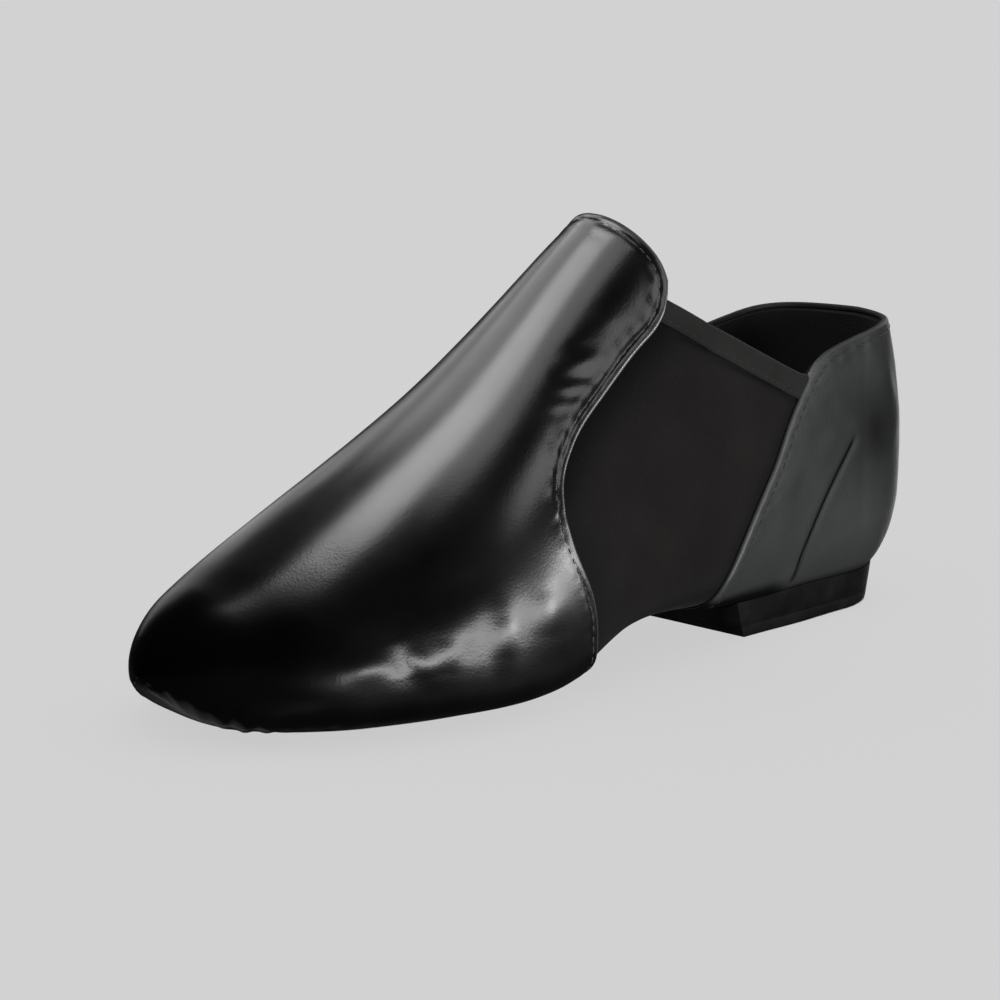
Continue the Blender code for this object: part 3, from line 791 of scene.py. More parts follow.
def woven(name, dark, light, rib, pick, depth, roughness, sheen, specular=0.08):
    """A rib-woven cloth: upright ribs crossed by finer picks, with a little lint, and painted shade
    towards near black by a mark named seam.
    """
    material, tree, shader, place = new_shader(name)
    waves = []
    for direction, scale, distortion in (("Y", rib, 0.15), ("Z", pick, 0.2)):
        wave = node(tree, "ShaderNodeTexWave", {"Vector": place}, bands_direction=direction,
                    Scale=scale, Distortion=distortion, Detail=1.0)
        waves.append(wave.outputs["Fac"])
    crossed = product(tree, *waves)
    lint = noise(tree, place, LINT_SCALE, 4.0)
    clouds = noise(tree, place, CLOTH_CLOUDS, 3.0)
    tone = product(tree, span(tree, crossed, 0.0, 1.0, 0.35, 1.0),
                   span(tree, clouds, *CLOUDS, 0.25, 0.8))
    cloth = mixed(tree, tone, dark, light)
    # Painted shade: the mark named seam darkens the cloth towards near black
    tree.links.new(mixed(tree, mark(tree, "seam"), cloth, NEAR_BLACK), shader.inputs["Base Color"])
    tree.links.new(span(tree, lint, 0.2, 0.8, roughness - CLOTH_ROUGH, roughness + CLOTH_ROUGH),
                   shader.inputs["Roughness"])
    ribbed = bump(tree, lint, depth * 0.5, 0.4, bump(tree, crossed, depth, 0.6))
    tree.links.new(ribbed, shader.inputs["Normal"])
    shader.inputs["Specular IOR Level"].default_value = specular
    shader.inputs["Sheen Weight"].default_value = sheen
    shader.inputs["Sheen Roughness"].default_value = 0.5
    return material


THREAD_TWIST = 1800.0


def thread(name, dark, light, depth, roughness, sheen, specular=0.08):
    """Twisted sewing thread."""
    return woven(name, dark, light, THREAD_TWIST, THREAD_TWIST, depth, roughness, sheen, specular)


SCUFFS_PER_GRAIN = 0.08


def rubber(name, dark, light, roughness, grain, depth, specular):
    """Moulded rubber or napped suede: fine specks, scuffs and a rough face."""
    material, tree, shader, place = new_shader(name)
    specks = noise(tree, place, grain, 5.0)
    scuffs = noise(tree, place, grain * SCUFFS_PER_GRAIN, 4.0)
    tree.links.new(mixed(tree, span(tree, scuffs, 0.35, 0.7, 0.0, 1.0), dark, light),
                   shader.inputs["Base Color"])
    tree.links.new(span(tree, specks, 0.25, 0.75, roughness - 0.1, roughness + 0.08),
                   shader.inputs["Roughness"])
    tree.links.new(bump(tree, specks, depth, 0.5), shader.inputs["Normal"])
    shader.inputs["Specular IOR Level"].default_value = specular
    return material


# Materials: dark and light tone, then roughness, scale and depth of the grain, and gloss
# The leathers' edge colour: the pale of folded edges, partly a painted highlight, and on the counter also
# painted light on its front and foot
GLOSS_LEATHER = leather(
    "gloss_leather", (0.0010, 0.0010, 0.0012), (0.004, 0.004, 0.0045),
    (0.21, 0.27), 1500.0, 0.00004, 0.28, edge=(0.040, 0.041, 0.042))
MATT_LEATHER = leather(
    "matt_leather", (0.010, 0.0105, 0.0105), (0.026, 0.027, 0.027),
    (0.44, 0.56), 1200.0, 0.00010, 0.36, edge=(0.036, 0.037, 0.037))
SOCK_LEATHER = leather(
    "sock", (0.010, 0.010, 0.010), (0.022, 0.022, 0.022), (0.6, 0.72), 1100.0, 0.00008, 0.35)
ELASTIC = woven(
    "elastic", (0.0045, 0.0040, 0.0039), (0.0120, 0.0108, 0.0104), 330.0, 560.0, 0.00018, 0.88, 0.015)
TAPE_CLOTH = woven(
    "tape", (0.006, 0.0058, 0.0056), (0.020, 0.0196, 0.0190), 620.0, 900.0, 0.00012, 0.8, 0.03)
LINING = woven(
    "lining", (0.006, 0.006, 0.006), (0.016, 0.016, 0.0155), 800.0, 800.0, 0.00008, 0.9, 0.01)
HEEL_RUBBER = rubber(
    "heel_rubber", (0.002, 0.002, 0.002), (0.006, 0.006, 0.006), 0.62, 1500.0, 0.00006, 0.10)
SOLE_SUEDE = rubber(
    "sole_suede", (0.002, 0.002, 0.002), (0.006, 0.006, 0.006), 0.88, 1800.0, 0.00012, 0.03)
TAPE_THREAD = thread(
    "thread", (0.008, 0.008, 0.008), (0.026, 0.026, 0.026), 0.00005, 0.6, 0.05)
VAMP_THREAD = thread(
    "vamp_thread", (0.022, 0.022, 0.022), (0.050, 0.050, 0.050), 0.00003, 0.42, 0.02, 0.30)
COUNTER_THREAD = thread(
    "counter_thread", (0.012, 0.0125, 0.0125), (0.032, 0.033, 0.033), 0.00005, 0.6, 0.02, 0.3)
SEAM_THREAD = thread(
    "seam_thread", (0.0010, 0.0010, 0.0010), (0.0030, 0.0030, 0.0030), 0.00003, 0.8, 0.0, 0.02)

# Marks on the leathers: ranges of distance, height or angle, shares and widths. The pale marks are partly
# or wholly painted light, the dark ones painted shade, save the dark dart seams.
THINNEST_EDGE = 0.45
EDGE_STEP = 0.2
# The vamp's pale folded edge, partly a painted highlight, and its dull toe top, darkened by painted shade
VAMP_FOLD_AND_PAINTED_HIGHLIGHT = (0.4, 1.3)
VAMP_DULL_PAINTED_SHADE_AHEAD = (84.0, 99.0)
VAMP_DULL_PAINTED_SHADE_ANGLES = (8.0, 30.0)
# The counter's pale folded edge, partly a painted highlight, then painted shade under the arch, painted
# light on the front and painted floor reflection on the foot
COUNTER_FOLD_AND_PAINTED_HIGHLIGHT = (0.2, 0.8)
COUNTER_UNDER = (30.0, 45.0)
COUNTER_UNDER_SHIFT = 12.0
COUNTER_UNDER_HEEL = (56.0, 70.0)
PAINTED_LIGHT_FRONT = 0.5
PAINTED_LIGHT_FRONT_WIDTH = 9.0
PAINTED_FLOOR_REFLECTION = 0.45
PAINTED_FLOOR_REFLECTION_BELOW = (-52.0, -26.0)
DART_DARK = 0.95
DART_DARK_WIDTH = 0.9
# A patch of painted shade high on the counter's back
PAINTED_SHADE_SPOT = 0.88
PAINTED_SHADE_SPOT_ALONG = (8.5, 97.5)
PAINTED_SHADE_SPOT_UP = (12.0, 53.0)


def vamp_marks(skin, distance):
    """Paler folded edges, partly a painted highlight, and a duller top of the toe, darkened by painted
    shade.
    """
    dull = ramp(-skin["point"][:, 1], *VAMP_DULL_PAINTED_SHADE_AHEAD) * ramp(skin["place"][:, 1], *VAMP_DULL_PAINTED_SHADE_ANGLES)
    return {"fold": 1 - ramp(distance, *VAMP_FOLD_AND_PAINTED_HIGHLIGHT), "dull": dull}


def counter_marks(skin, distance):
    """Paler folded edges, partly a painted highlight, painted light on the front and painted floor
    reflection on the foot; painted shade under the arch and at one spot; dark dart seams.
    """
    point = skin["point"]
    y, z = point[:, 1], point[:, 2]
    # Painted shade under the arch, where it also takes away the pale marks
    shift = COUNTER_UNDER_SHIFT * ramp(y, *COUNTER_UNDER_HEEL)
    under = ramp(-skin["place"][:, 1] - shift, *COUNTER_UNDER)
    # Painted light along the front edge
    front = PAINTED_LIGHT_FRONT * bell(distance_to(point, both_sides(COUNTER)), PAINTED_LIGHT_FRONT_WIDTH)
    # Pale folded edges, partly a painted highlight
    pale_and_painted_light = np.maximum(1 - ramp(distance, *COUNTER_FOLD_AND_PAINTED_HIGHLIGHT), front)
    # Painted reflection of the floor, low on the counter
    pale_and_painted_light = np.maximum(pale_and_painted_light, PAINTED_FLOOR_REFLECTION * ramp(-z, *PAINTED_FLOOR_REFLECTION_BELOW))
    dart = DART_DARK * bell(distance_to(point, both_sides(DART_CURVE)), DART_DARK_WIDTH)
    # A patch of painted shade high on the back
    spot = PAINTED_SHADE_SPOT * bell(y, *PAINTED_SHADE_SPOT_ALONG) * bell(z, *PAINTED_SHADE_SPOT_UP)
    return {"fold": pale_and_painted_light * (1 - under), "dull": np.maximum(np.maximum(under, spot), dart)}


def make_sheet(name, skin, outer, inner, material, slot, replaces=(), marks=None):
    """A piece between two offsets from a welded sheet, with marks on its outer face alone."""
    both = {key: np.concatenate([value, 0 * value]) for key, value in (marks or {}).items()}
    points, loops = close_piece(skin, outer, inner)
    make_mesh(name, points, loops, material, slot, replaces, both)


def make_leathers():
    """The vamp with its tongue, and the heel counter, each with turned and stitched edges."""
    for name, grids, surface, marks, turned, material, slot, solid in (
            ("vamp_leather", vamp_grids(), vamp_surface, vamp_marks, both_sides(TONGUE),
             GLOSS_LEATHER, "gloss_leather", "vamp"),
            ("counter_leather", [counter_grid(CELLS_HEEL, CELLS_HEEL_SIDE)], counter_surface,
             counter_marks, COLLAR_EDGES, MATT_LEATHER, "matt_leather", "heel_counter")):
        skin = weld(grids)
        outer, distance = surface(skin)
        past_edge = ramp(distance_to(skin["point"], turned), TURNED_EDGE - EDGE_STEP, TURNED_EDGE)
        inner = TURNED_IN + (LEATHER_IN - TURNED_IN) * past_edge
        inner = np.minimum(inner, outer - THINNEST_EDGE)
        make_sheet(name, skin, outer, inner, material, slot, [solid], marks(skin, distance))


TAPE_SAMPLES = 300
SHADE_LOW = 0.32
SHADE_HIGH = 0.95
SHADE_HEIGHTS = (40.0, 60.0)
SHADE_VAMP_WIDTH = 8.0
SHADE_COUNTER = 0.4
SHADE_COUNTER_WIDTH = 2.5
SHADE_TAPE = 0.95
SHADE_TAPE_WIDTH = 1.1
SHADE_ARCH = 0.8
SHADE_ARCH_ANGLES = (8.0, 34.0)
GORE_SWELL = (0.05, 26.0, 21)
LINING_STEP = (6.5, 9.0)


def gore_shade(skin):
    """How much painted shade darkens the elastic beside the leathers, under the tape and under the arch.
    """
    point = skin["point"]
    line = np.linspace(0.0, COUNTER_EDGE[-1][0], TAPE_SAMPLES)
    tape = np.array([place_at(u, tape_height(u, TAPE_DEPTH)) for u in line])
    to_vamp = distance_to(point, both_sides(VAMP_LOW) + both_sides(VAMP_HIGH))
    to_counter = distance_to(point, both_sides(COUNTER))
    to_tape = distance_to(point, both_sides(tape))
    high = SHADE_LOW + (SHADE_HIGH - SHADE_LOW) * ramp(point[:, 2], *SHADE_HEIGHTS)
    shade = high * bell(to_vamp, SHADE_VAMP_WIDTH)
    shade = np.maximum(shade, SHADE_COUNTER * bell(to_counter, SHADE_COUNTER_WIDTH))
    shade = np.maximum(shade, SHADE_TAPE * bell(to_tape, SHADE_TAPE_WIDTH))
    return np.maximum(shade, SHADE_ARCH * ramp(-skin["place"][:, 1], *SHADE_ARCH_ANGLES))


def make_elastic_and_lining():
    """The band of elastic through both gores, and the cloth linings of toe and heel."""
    skin = weld([gore_grid()])
    swell = rolling(skin["point"], *GORE_SWELL)
    # Painted shade on the elastic, carried by the mark named seam
    make_sheet("gore_elastic", skin, GORE_OUT + swell, GORE_IN + swell, ELASTIC, "elastic", ["upper"],
               {"seam": gore_shade(skin)})

    turned = len([step for step in HEM_STEPS if step < TURNED_EDGE])
    toe, tongue = vamp_grids()
    heel = counter_grid(CELLS_HEEL_LINING, CELLS_SIDE)
    gore_front = both_sides(VAMP_LOW) + both_sides(edge_curve(VAMP_EDGE_HIGH[:-1]))
    for name, grids, gore_edge in (("vamp_lining", [toe, tongue[:-turned]], gore_front),
                                   ("heel_lining", [heel[:, :-turned]], both_sides(COUNTER))):
        skin = weld(grids)
        past_gore = ramp(distance_to(skin["point"], gore_edge), *LINING_STEP)
        outer = LINING_OVER_GORE + (LINING_OUT - LINING_OVER_GORE) * past_gore
        make_sheet(name, skin, outer, np.full_like(outer, LINING_IN), LINING, "sock")


SOCK_FROM = -117.0
SOCK_ANGLE = -42.0
SOCK_ROWS = 130
SOCK_CELLS = 26
SOCK_SAMPLES = 300
SOCK_RIM = 1.6
SOCK_RIM_SHARE = 0.35
SOCK_SWELL = (0.05, 16.0, 31)


def make_sock():
    """The insole's cover, thin at its edge and lying on the lining."""
    reach = (SOCK_FROM, FAN + FAN_TURN)
    rows = [split(straight_row((u, SOCK_ANGLE)), SOCK_CELLS) for u in np.linspace(*reach, SOCK_ROWS)]
    skin = weld([np.array(rows)])
    rim = np.array([[u, SOCK_ANGLE] for u in np.linspace(*reach, SOCK_SAMPLES)])
    from_rim = ramp(distance_to(skin["point"], both_sides(rim)), 0.0, SOCK_RIM)
    inner = SOCK_OUT + (SOCK_IN - SOCK_OUT) * (SOCK_RIM_SHARE + (1 - SOCK_RIM_SHARE) * from_rim)
    inner = inner - rolling(skin["point"], *SOCK_SWELL)
    make_sheet("sock_cover", skin, np.full_like(inner, SOCK_OUT), inner, SOCK_LEATHER, "sock", ["insole"])


# The folded tape's closed profile: offset from the surface and depth below the collar
TAPE_PROFILE = (
    (-1.24, 6.3), (-1.10, 6.5), (-0.85, 6.5), (-0.62, 6.25), (-0.58, 5.8),
    (-0.72, 5.35), (-0.60, 4.9), (-0.45, 4.2), (-0.38, 3.0), (-0.38, 1.6),
    (-0.45, 0.5), (-0.66, -0.3), (-1.05, -0.85), (-1.60, -1.1), (-2.15, -1.1),
    (-2.75, -0.85), (-3.15, -0.3), (-3.35, 0.5), (-3.45, 2.5), (-3.45, 5.8),
    (-3.30, 6.4), (-3.00, 6.5), (-2.70, 6.3), (-2.62, 4.0), (-2.60, 1.0),
    (-2.35, -0.2), (-1.80, -0.45), (-1.35, -0.2), (-1.24, 1.0),
)
TAPE_STATIONS = 90
TAPE_CLEAR = 0.12
TAPE_STITCH = 5.35
TAPE_DEPTH = 6.8
TAPE_UNDER = -1.9
TAPE_TUCK = 5.0
TAPE_FACE = -0.66
TAPE_WAVE = 0.05
TAPE_WAVE_RATE = 1.1
TAPE_WAVE_DEPTH = 4.0


def tape_ends(offset, depth):
    """Where the tape starts behind the vamp's edge and ends before the counter's."""
    front = np.array(VAMP_EDGE_HIGH, float)
    rear = np.array(COUNTER_EDGE, float)
    at = np.linspace(front[0, 0], rear[-1, 0], 1600)
    height = tape_height(at, max(depth, 0))
    clear_front = at - np.interp(height, front[:, 1], front[:, 0]) > TAPE_CLEAR
    clear_rear = np.interp(height, rear[:, 1], rear[:, 0]) - at > TAPE_CLEAR
    start = at[clear_front][0]
    if offset < TAPE_UNDER:
        start = COLLAR[0][0] - TAPE_TUCK
    return start, at[clear_rear][-1]


def make_tapes():
    """The folded tape over the top edge of each gore, between vamp and counter."""
    size = len(TAPE_PROFILE)
    for name, side in (("tape_lateral", 1), ("tape_medial", -1)):
        net = np.zeros((TAPE_STATIONS, size, 3))
        for n, (offset, depth) in enumerate(TAPE_PROFILE):
            u = np.linspace(*tape_ends(offset, depth), TAPE_STATIONS)
            angle = angle_at(u, tape_height(u, depth))
            normal = last_normal(u, angle, np.full(TAPE_STATIONS, side))
            wave = TAPE_WAVE * np.sin(u * TAPE_WAVE_RATE + side) * slope(depth, 0, TAPE_WAVE_DEPTH)
            net[:, n] = last_point(u, angle, side) + (offset + wave)[:, None] * normal
        points = net.reshape(-1, 3)
        loops = []
        for station in range(TAPE_STATIONS - 1):
            for n in range(size):
                a = station * size + n
                b = station * size + (n + 1) % size
                loops.append([a, b, b + size, a + size])
        half = size // 2
        for start, order in ((0, 1), ((TAPE_STATIONS - 1) * size, -1)):
            for n in range(half):
                quad = [start + n, start + n + 1, start + size - 2 - n, start + size - 1 - n]
                quad = list(dict.fromkeys(quad))
                if len(quad) > 2:
                    loops.append(quad[::order])
        make_mesh(name, points, loops, TAPE_CLOTH, "tape", ["collar_binding" + name[4:]])


# Threads
STITCH_LENGTH = 2.1
STITCH_PITCH = 2.75
THREAD_RADIUS = 0.19
VAMP_THREAD_RADIUS = 0.165
THREAD_SIDES = 6
THREAD_RINGS = (-0.92, -0.6, -0.2, 0.2, 0.6, 0.92)
THREAD_TURNS = np.arange(THREAD_SIDES) * 2 * np.pi / THREAD_SIDES
THREAD_PROUD = 0.35
THREAD_TAPER = 0.95
THREAD_SINK = 1.5
THREAD_TIP_SINK = 1.7
HEADING_STEP = 0.4
CORD_RADIUS = 0.26
CORD_SUNK = 0.05
CORD_RINGS = 160
CORD_TAPER = 6
CORD_TIP = 0.25
SEEN_ABOVE = -50
DART_ABOVE = -60
TONGUE_END = 12
TAPE_ROW_END = 0.6
TAPE_ROW_SAMPLES = 160
BACK_SEAM_DROP = 3.4
BACK_SEAM_FOOT = -52
BACK_SEAM_SAMPLES = 200


def moved_in(curve, side, distance):
    """A curve moved sideways over the surface by a distance."""
    points = last_point(curve[:, 0], curve[:, 1], side)
    heading = unit(np.gradient(points, axis=0))
    sides = np.full(len(curve), side)
    inward = np.cross(heading, last_normal(curve[:, 0], curve[:, 1], sides))
    along, round_it = last_slopes(curve[:, 0], curve[:, 1], sides)
    step = []
    for a, b, want in zip(along, round_it, inward * distance):
        step.append(np.linalg.lstsq(np.stack([a, b], -1), want, rcond=None)[0])
    return curve + np.array(step)


def stitch_places(curve, side):
    """Centres and headings of a row of stitches along a curve on the last."""
    run = measure(curve, side)
    count = int((run[-1] - STITCH_PITCH) // STITCH_PITCH)
    at = STITCH_PITCH * 0.5 + np.arange(count + 1) * (run[-1] - STITCH_PITCH) / count
    ahead, behind = (at_run(curve, run, at + step) for step in (HEADING_STEP, -HEADING_STEP))
    heading = unit(last_point(ahead[:, 0], ahead[:, 1], side)
                   - last_point(behind[:, 0], behind[:, 1], side))
    return at_run(curve, run, at), heading


def tape_surface(skin):
    """The tape's face, at one depth under the surface of the last."""
    return np.full(len(skin["point"]), TAPE_FACE), None


def on_face(places, side, surface):
    """Points on a piece's face, with the outward direction at each."""
    sides = np.full(len(places), side)
    point = last_point(places[:, 0], places[:, 1], side)
    normal = last_normal(places[:, 0], places[:, 1], sides)
    skin = {"place": np.column_stack([places, sides]), "point": point, "normal": normal}
    return point + normal * surface(skin)[0][:, None], normal


def tube_wall(start, rings):
    """The faces between the rings of a tube's corners."""
    loops = []
    for first in range(start, start + (rings - 1) * THREAD_SIDES, THREAD_SIDES):
        for k in range(THREAD_SIDES):
            a, b = first + k, first + (k + 1) % THREAD_SIDES
            loops.append([a, b, b + THREAD_SIDES, a + THREAD_SIDES])
    return loops


def stitch_row(curve, side, surface, radius=THREAD_RADIUS):
    """Corners and faces of one row of stitches, each sunk a little at its ends."""
    middle, heading = stitch_places(curve, side)
    spot, up = on_face(middle, side, surface)
    across = unit(np.cross(up, heading))
    points = []
    loops = []
    for n in range(len(middle)):
        start = len(points)
        centre = spot[n] + up[n] * radius * THREAD_PROUD
        half = heading[n] * STITCH_LENGTH / 2
        for ring in THREAD_RINGS:
            wide = radius * np.sqrt(1 - (ring * THREAD_TAPER) ** 4)
            hub = centre + half * ring - up[n] * radius * THREAD_SINK * abs(ring) ** 3
            for turn in THREAD_TURNS:
                points.append(hub + wide * (np.cos(turn) * across[n] + np.sin(turn) * up[n]))
        loops.extend(tube_wall(start, len(THREAD_RINGS)))
        for tip, ring in ((-1, 0), (1, len(THREAD_RINGS) - 1)):
            points.append(centre + half * tip - up[n] * radius * THREAD_TIP_SINK)
            first = start + ring * THREAD_SIDES
            for k in range(THREAD_SIDES):
                loop = [first + k, first + (k + 1) % THREAD_SIDES, len(points) - 1]
                loops.append(loop[::tip])
    return points, loops


def seam_cord(curve, side):
    """Corners and faces of a fine round cord lying in the counter's trough along a seam."""
    run = measure(curve, side)
    places = at_run(curve, run, np.linspace(0, run[-1], CORD_RINGS))
    spot, up = on_face(places, side, counter_surface)
    spot = spot - up * CORD_SUNK
    heading = unit(np.gradient(spot, axis=0))
    across = unit(np.cross(up, heading))
    ring = np.arange(CORD_RINGS)
    radius = CORD_RADIUS * np.clip(np.minimum(ring, ring[::-1]) / CORD_TAPER, CORD_TIP, 1)[:, None]
    net = np.stack([spot + radius * (np.cos(turn) * across + np.sin(turn) * up)
                    for turn in THREAD_TURNS], 1)
    first = list(range(THREAD_SIDES))
    last = [v + (CORD_RINGS - 1) * THREAD_SIDES for v in first]
    return list(net.reshape(-1, 3)), tube_wall(0, CORD_RINGS) + [first[::-1], last]


def make_threads(name, rows, material):
    """One piece of thread made of several rows."""
    points = []
    loops = []
    for new_points, new_loops in rows:
        start = len(points)
        points.extend(new_points)
        loops.extend([v + start for v in loop] for loop in new_loops)
    make_mesh(name, points, loops, material, "tape")


def make_stitches():
    """Rows inside the leather's edges and along the tapes."""
    vamp_edge = np.concatenate([VAMP_LOW[VAMP_LOW[:, 1] > SEEN_ABOVE], VAMP_HIGH[1:]])
    counter_edge = COUNTER[COUNTER[:, 1] > SEEN_ABOVE]
    start, end = tape_ends(TAPE_FACE, TAPE_STITCH)
    line = np.linspace(start + TAPE_ROW_END, end - TAPE_ROW_END, TAPE_ROW_SAMPLES)
    tape = np.array([place_at(u, tape_height(u, TAPE_STITCH)) for u in line])
    vamp, counter, tapes = [], [], []
    for side in (1, -1):
        for edge in (vamp_edge, TONGUE[:-TONGUE_END]):
            row = moved_in(edge, side, -side * STITCH_IN)
            vamp.append(stitch_row(row, side, vamp_surface, VAMP_THREAD_RADIUS))
        for edge in (counter_edge, COLLAR_BACK):
            row = moved_in(edge, side, side * STITCH_IN)
            counter.append(stitch_row(row, side, counter_surface))
        tapes.append(stitch_row(tape, side, tape_surface))
    make_threads("vamp_stitches", vamp, VAMP_THREAD)
    make_threads("counter_stitches", counter, COUNTER_THREAD)
    make_threads("tape_stitches", tapes, TAPE_THREAD)


def make_seams():
    """The darts' seams and the seam down the back of the counter."""
    dart = DART_CURVE[DART_CURVE[:, 1] > DART_ABOVE]
    make_threads("dart_seams", [seam_cord(dart, side) for side in (1, -1)], SEAM_THREAD)
    end = FAN + FAN_TURN
    top = place_at(end, collar_height(end, BACK_SEAM_DROP))
    angle = np.linspace(top[1], BACK_SEAM_FOOT, BACK_SEAM_SAMPLES)
    back = np.stack([np.full_like(angle, end), angle], -1)
    make_threads("back_seam", [seam_cord(back, 1)], TAPE_THREAD)


def block(outline, bottom, wall, rows, cells):
    """A block over a floor plan, up to the upper's underside, its wall rounded by steps."""
    across = -np.cos(np.pi * np.arange(cells + 1) / cells)
    along = np.arange(rows + 1) / rows
    plans = [np.array([[outline(s, t, level) for t in across] for s in along], float)
             for level in (0, 1)]
    middle = plans[1].reshape(-1, 2).mean(axis=0)
    border = [(0, j) for j in range(cells)] + [(i, cells) for i in range(rows)]
    border += [(rows, j) for j in range(cells, 0, -1)] + [(i, 0) for i in range(rows, 0, -1)]
    points = []
    loops = []
    rings = []
    for share, push in wall:
        rings.append(range(len(points), len(points) + len(border)))
        for i, j in border:
            low, high = plans[0][i, j], plans[1][i, j]
            z_low, z_high = bottom(*low), pad_top(*high)
            spot = (1 - share) * low + share * high
            away = (spot - middle) / max(np.linalg.norm(spot - middle), 1e-6)
            points.append((*(spot + away * push), z_low + share * (z_high - z_low)))
    for low, high in zip(rings, rings[1:]):
        for n in range(len(border)):
            loops.append([low[n - 1], low[n], high[n], high[n - 1]])
    for plan, ring, height, order in ((plans[0], rings[0], bottom, -1), (plans[1], rings[-1], pad_top, 1)):
        index = np.zeros((rows + 1, cells + 1), int)
        for (i, j), v in zip(border, ring):
            index[i, j] = v
        for i in range(1, rows):
            for j in range(1, cells):
                index[i, j] = len(points)
                points.append((*plan[i, j], height(*plan[i, j])))
        for i in range(rows):
            for j in range(cells):
                loop = [index[i, j], index[i, j + 1], index[i + 1, j + 1], index[i + 1, j]]
                loops.append(loop[::order])
    return points, loops


# Steps of a block's wall: share of the height and push outwards
PATCH_WALL = ((0.0, -0.35), (0.08, -0.12), (0.25, 0.0), (0.8, 0.0), (1.0, -0.15))
HEEL_WALL = ((0.0, -0.45), (0.03, -0.15), (0.09, 0.0), (0.27, 0.0), (0.30, -0.22),
             (0.33, 0.0), (0.6, 0.0), (0.93, 0.0), (1.0, -0.2))
PATCH_CELLS = (70, 40)
HEEL_CELLS = (48, 36)
PAD_GAP = 0.35
PATCH_FRONT = -105.0
PATCH_BACK = -26.0
PATCH_INSET_LATERAL = 18.0
PATCH_INSET_MEDIAL = 15.0
PATCH_ROUND_FRONT = 30.0
PATCH_ROUND_BACK = 18.0
PATCH_DEPTH = 2.4
PATCH_TIP = 0.06
BREAST = 45.2
BREAST_SLANT = 4.4
BREAST_SKEW = 3.0
HEEL_NARROW = 2.6
HEEL_NARROW_BY = 80.0
HEEL_INSET = 7.0
HEEL_TAPER = 1.5
HEEL_TIP = 0.985
HEEL_SHARP = 35


def pad_top(x, y):
    """The height at which a block meets the underside of the upper."""
    return float(underside(x, y)) - PAD_GAP


def make_patch():
    """The napped patch under the ball, flat where it meets the floor."""

    def outline(along, across, level):
        y = PATCH_FRONT + (PATCH_BACK - PATCH_FRONT) * (1 - np.cos(np.pi * along)) / 2
        front = np.clip((PATCH_FRONT + PATCH_ROUND_FRONT - y) / PATCH_ROUND_FRONT, 0, 1)
        back = np.clip((y - PATCH_BACK + PATCH_ROUND_BACK) / PATCH_ROUND_BACK, 0, 1)
        close = max(np.sqrt(1 - front ** 2) * np.sqrt(1 - back ** 2), PATCH_TIP)
        if across > 0:
            half = SHAPE["lateral"](y) - PATCH_INSET_LATERAL
        else:
            half = SHAPE["medial"](y) - PATCH_INSET_MEDIAL
        return SHAPE["axis"](y) + across * half * close, y

    def bottom(x, y):
        return max(0.0, pad_top(x, y) - PATCH_DEPTH)

    points, loops = block(outline, bottom, PATCH_WALL, *PATCH_CELLS)
    make_mesh("sole_patch", points, loops, SOLE_SUEDE, "sole_patch", ["forefoot_sole"])


def make_heel():
    """The low block under the seat, with its breast slanting and its lift marked by a groove."""

    def outline(along, across, level):
        inset = HEEL_INSET + (0 if level else HEEL_TAPER)
        start = BREAST + (0 if level else BREAST_SLANT) + BREAST_SKEW * across
        reach = np.sin(np.pi / 2 * along)
        y = start + (BACK - inset - start) * reach
        behind = np.clip((y - FAN) / (HEEL_ROUND - inset), 0, HEEL_TIP)
        section = min(y, FAN)
        close = (1 - behind ** HEEL_POWER) ** (1 / HEEL_POWER)
        half = float(half_width(section, 1 if across > 0 else -1)) - inset
        if across > 0:
            half -= HEEL_NARROW * float(ramp(HEEL_NARROW_BY - y, 0.0, HEEL_NARROW_BY - BREAST))
        return float(SHAPE["axis"](section)) + across * half * close, y

    def bottom(x, y):
        return 0.0

    points, loops = block(outline, bottom, HEEL_WALL, *HEEL_CELLS)
    make_mesh("heel_block", points, loops, HEEL_RUBBER, "heel_rubber", ["heel"], sharp=HEEL_SHARP)


# Camera at the photograph's angle
CAMERA_AZIMUTH = 51.13
CAMERA_ELEVATION = 13.12
CAMERA_ROLL = -0.24
CAMERA_DISTANCE = 728.3
CAMERA_AIM = (-8.57, -10.45, 43.15)
CAMERA_LENS = 99.43
CAMERA_SENSOR = 36.0
CAMERA_CLIP = (0.02, 100.0)


def make_camera():
    azimuth, elevation, roll = np.radians([CAMERA_AZIMUTH, CAMERA_ELEVATION, CAMERA_ROLL])
    back = np.array([np.sin(azimuth) * np.cos(elevation),
                     -np.cos(azimuth) * np.cos(elevation), np.sin(elevation)])
    level = np.array([np.cos(azimuth), np.sin(azimuth), 0.0])
    upright = np.cross(back, level)
    right = np.cos(roll) * level + np.sin(roll) * upright
    up = -np.sin(roll) * level + np.cos(roll) * upright
    data = bpy.data.cameras.new("camera")
    data.lens = CAMERA_LENS
    data.sensor_width = CAMERA_SENSOR
    data.clip_start, data.clip_end = CAMERA_CLIP
    camera = bpy.data.objects.new("camera", data)
    spot = Vector(np.array(CAMERA_AIM) + back * CAMERA_DISTANCE) * MM
    turned = Matrix(np.stack([right, up, back], 1).tolist())
    camera.matrix_world = Matrix.Translation(spot) @ turned.to_4x4()
    bpy.context.scene.collection.objects.link(camera)
    bpy.context.scene.camera = camera


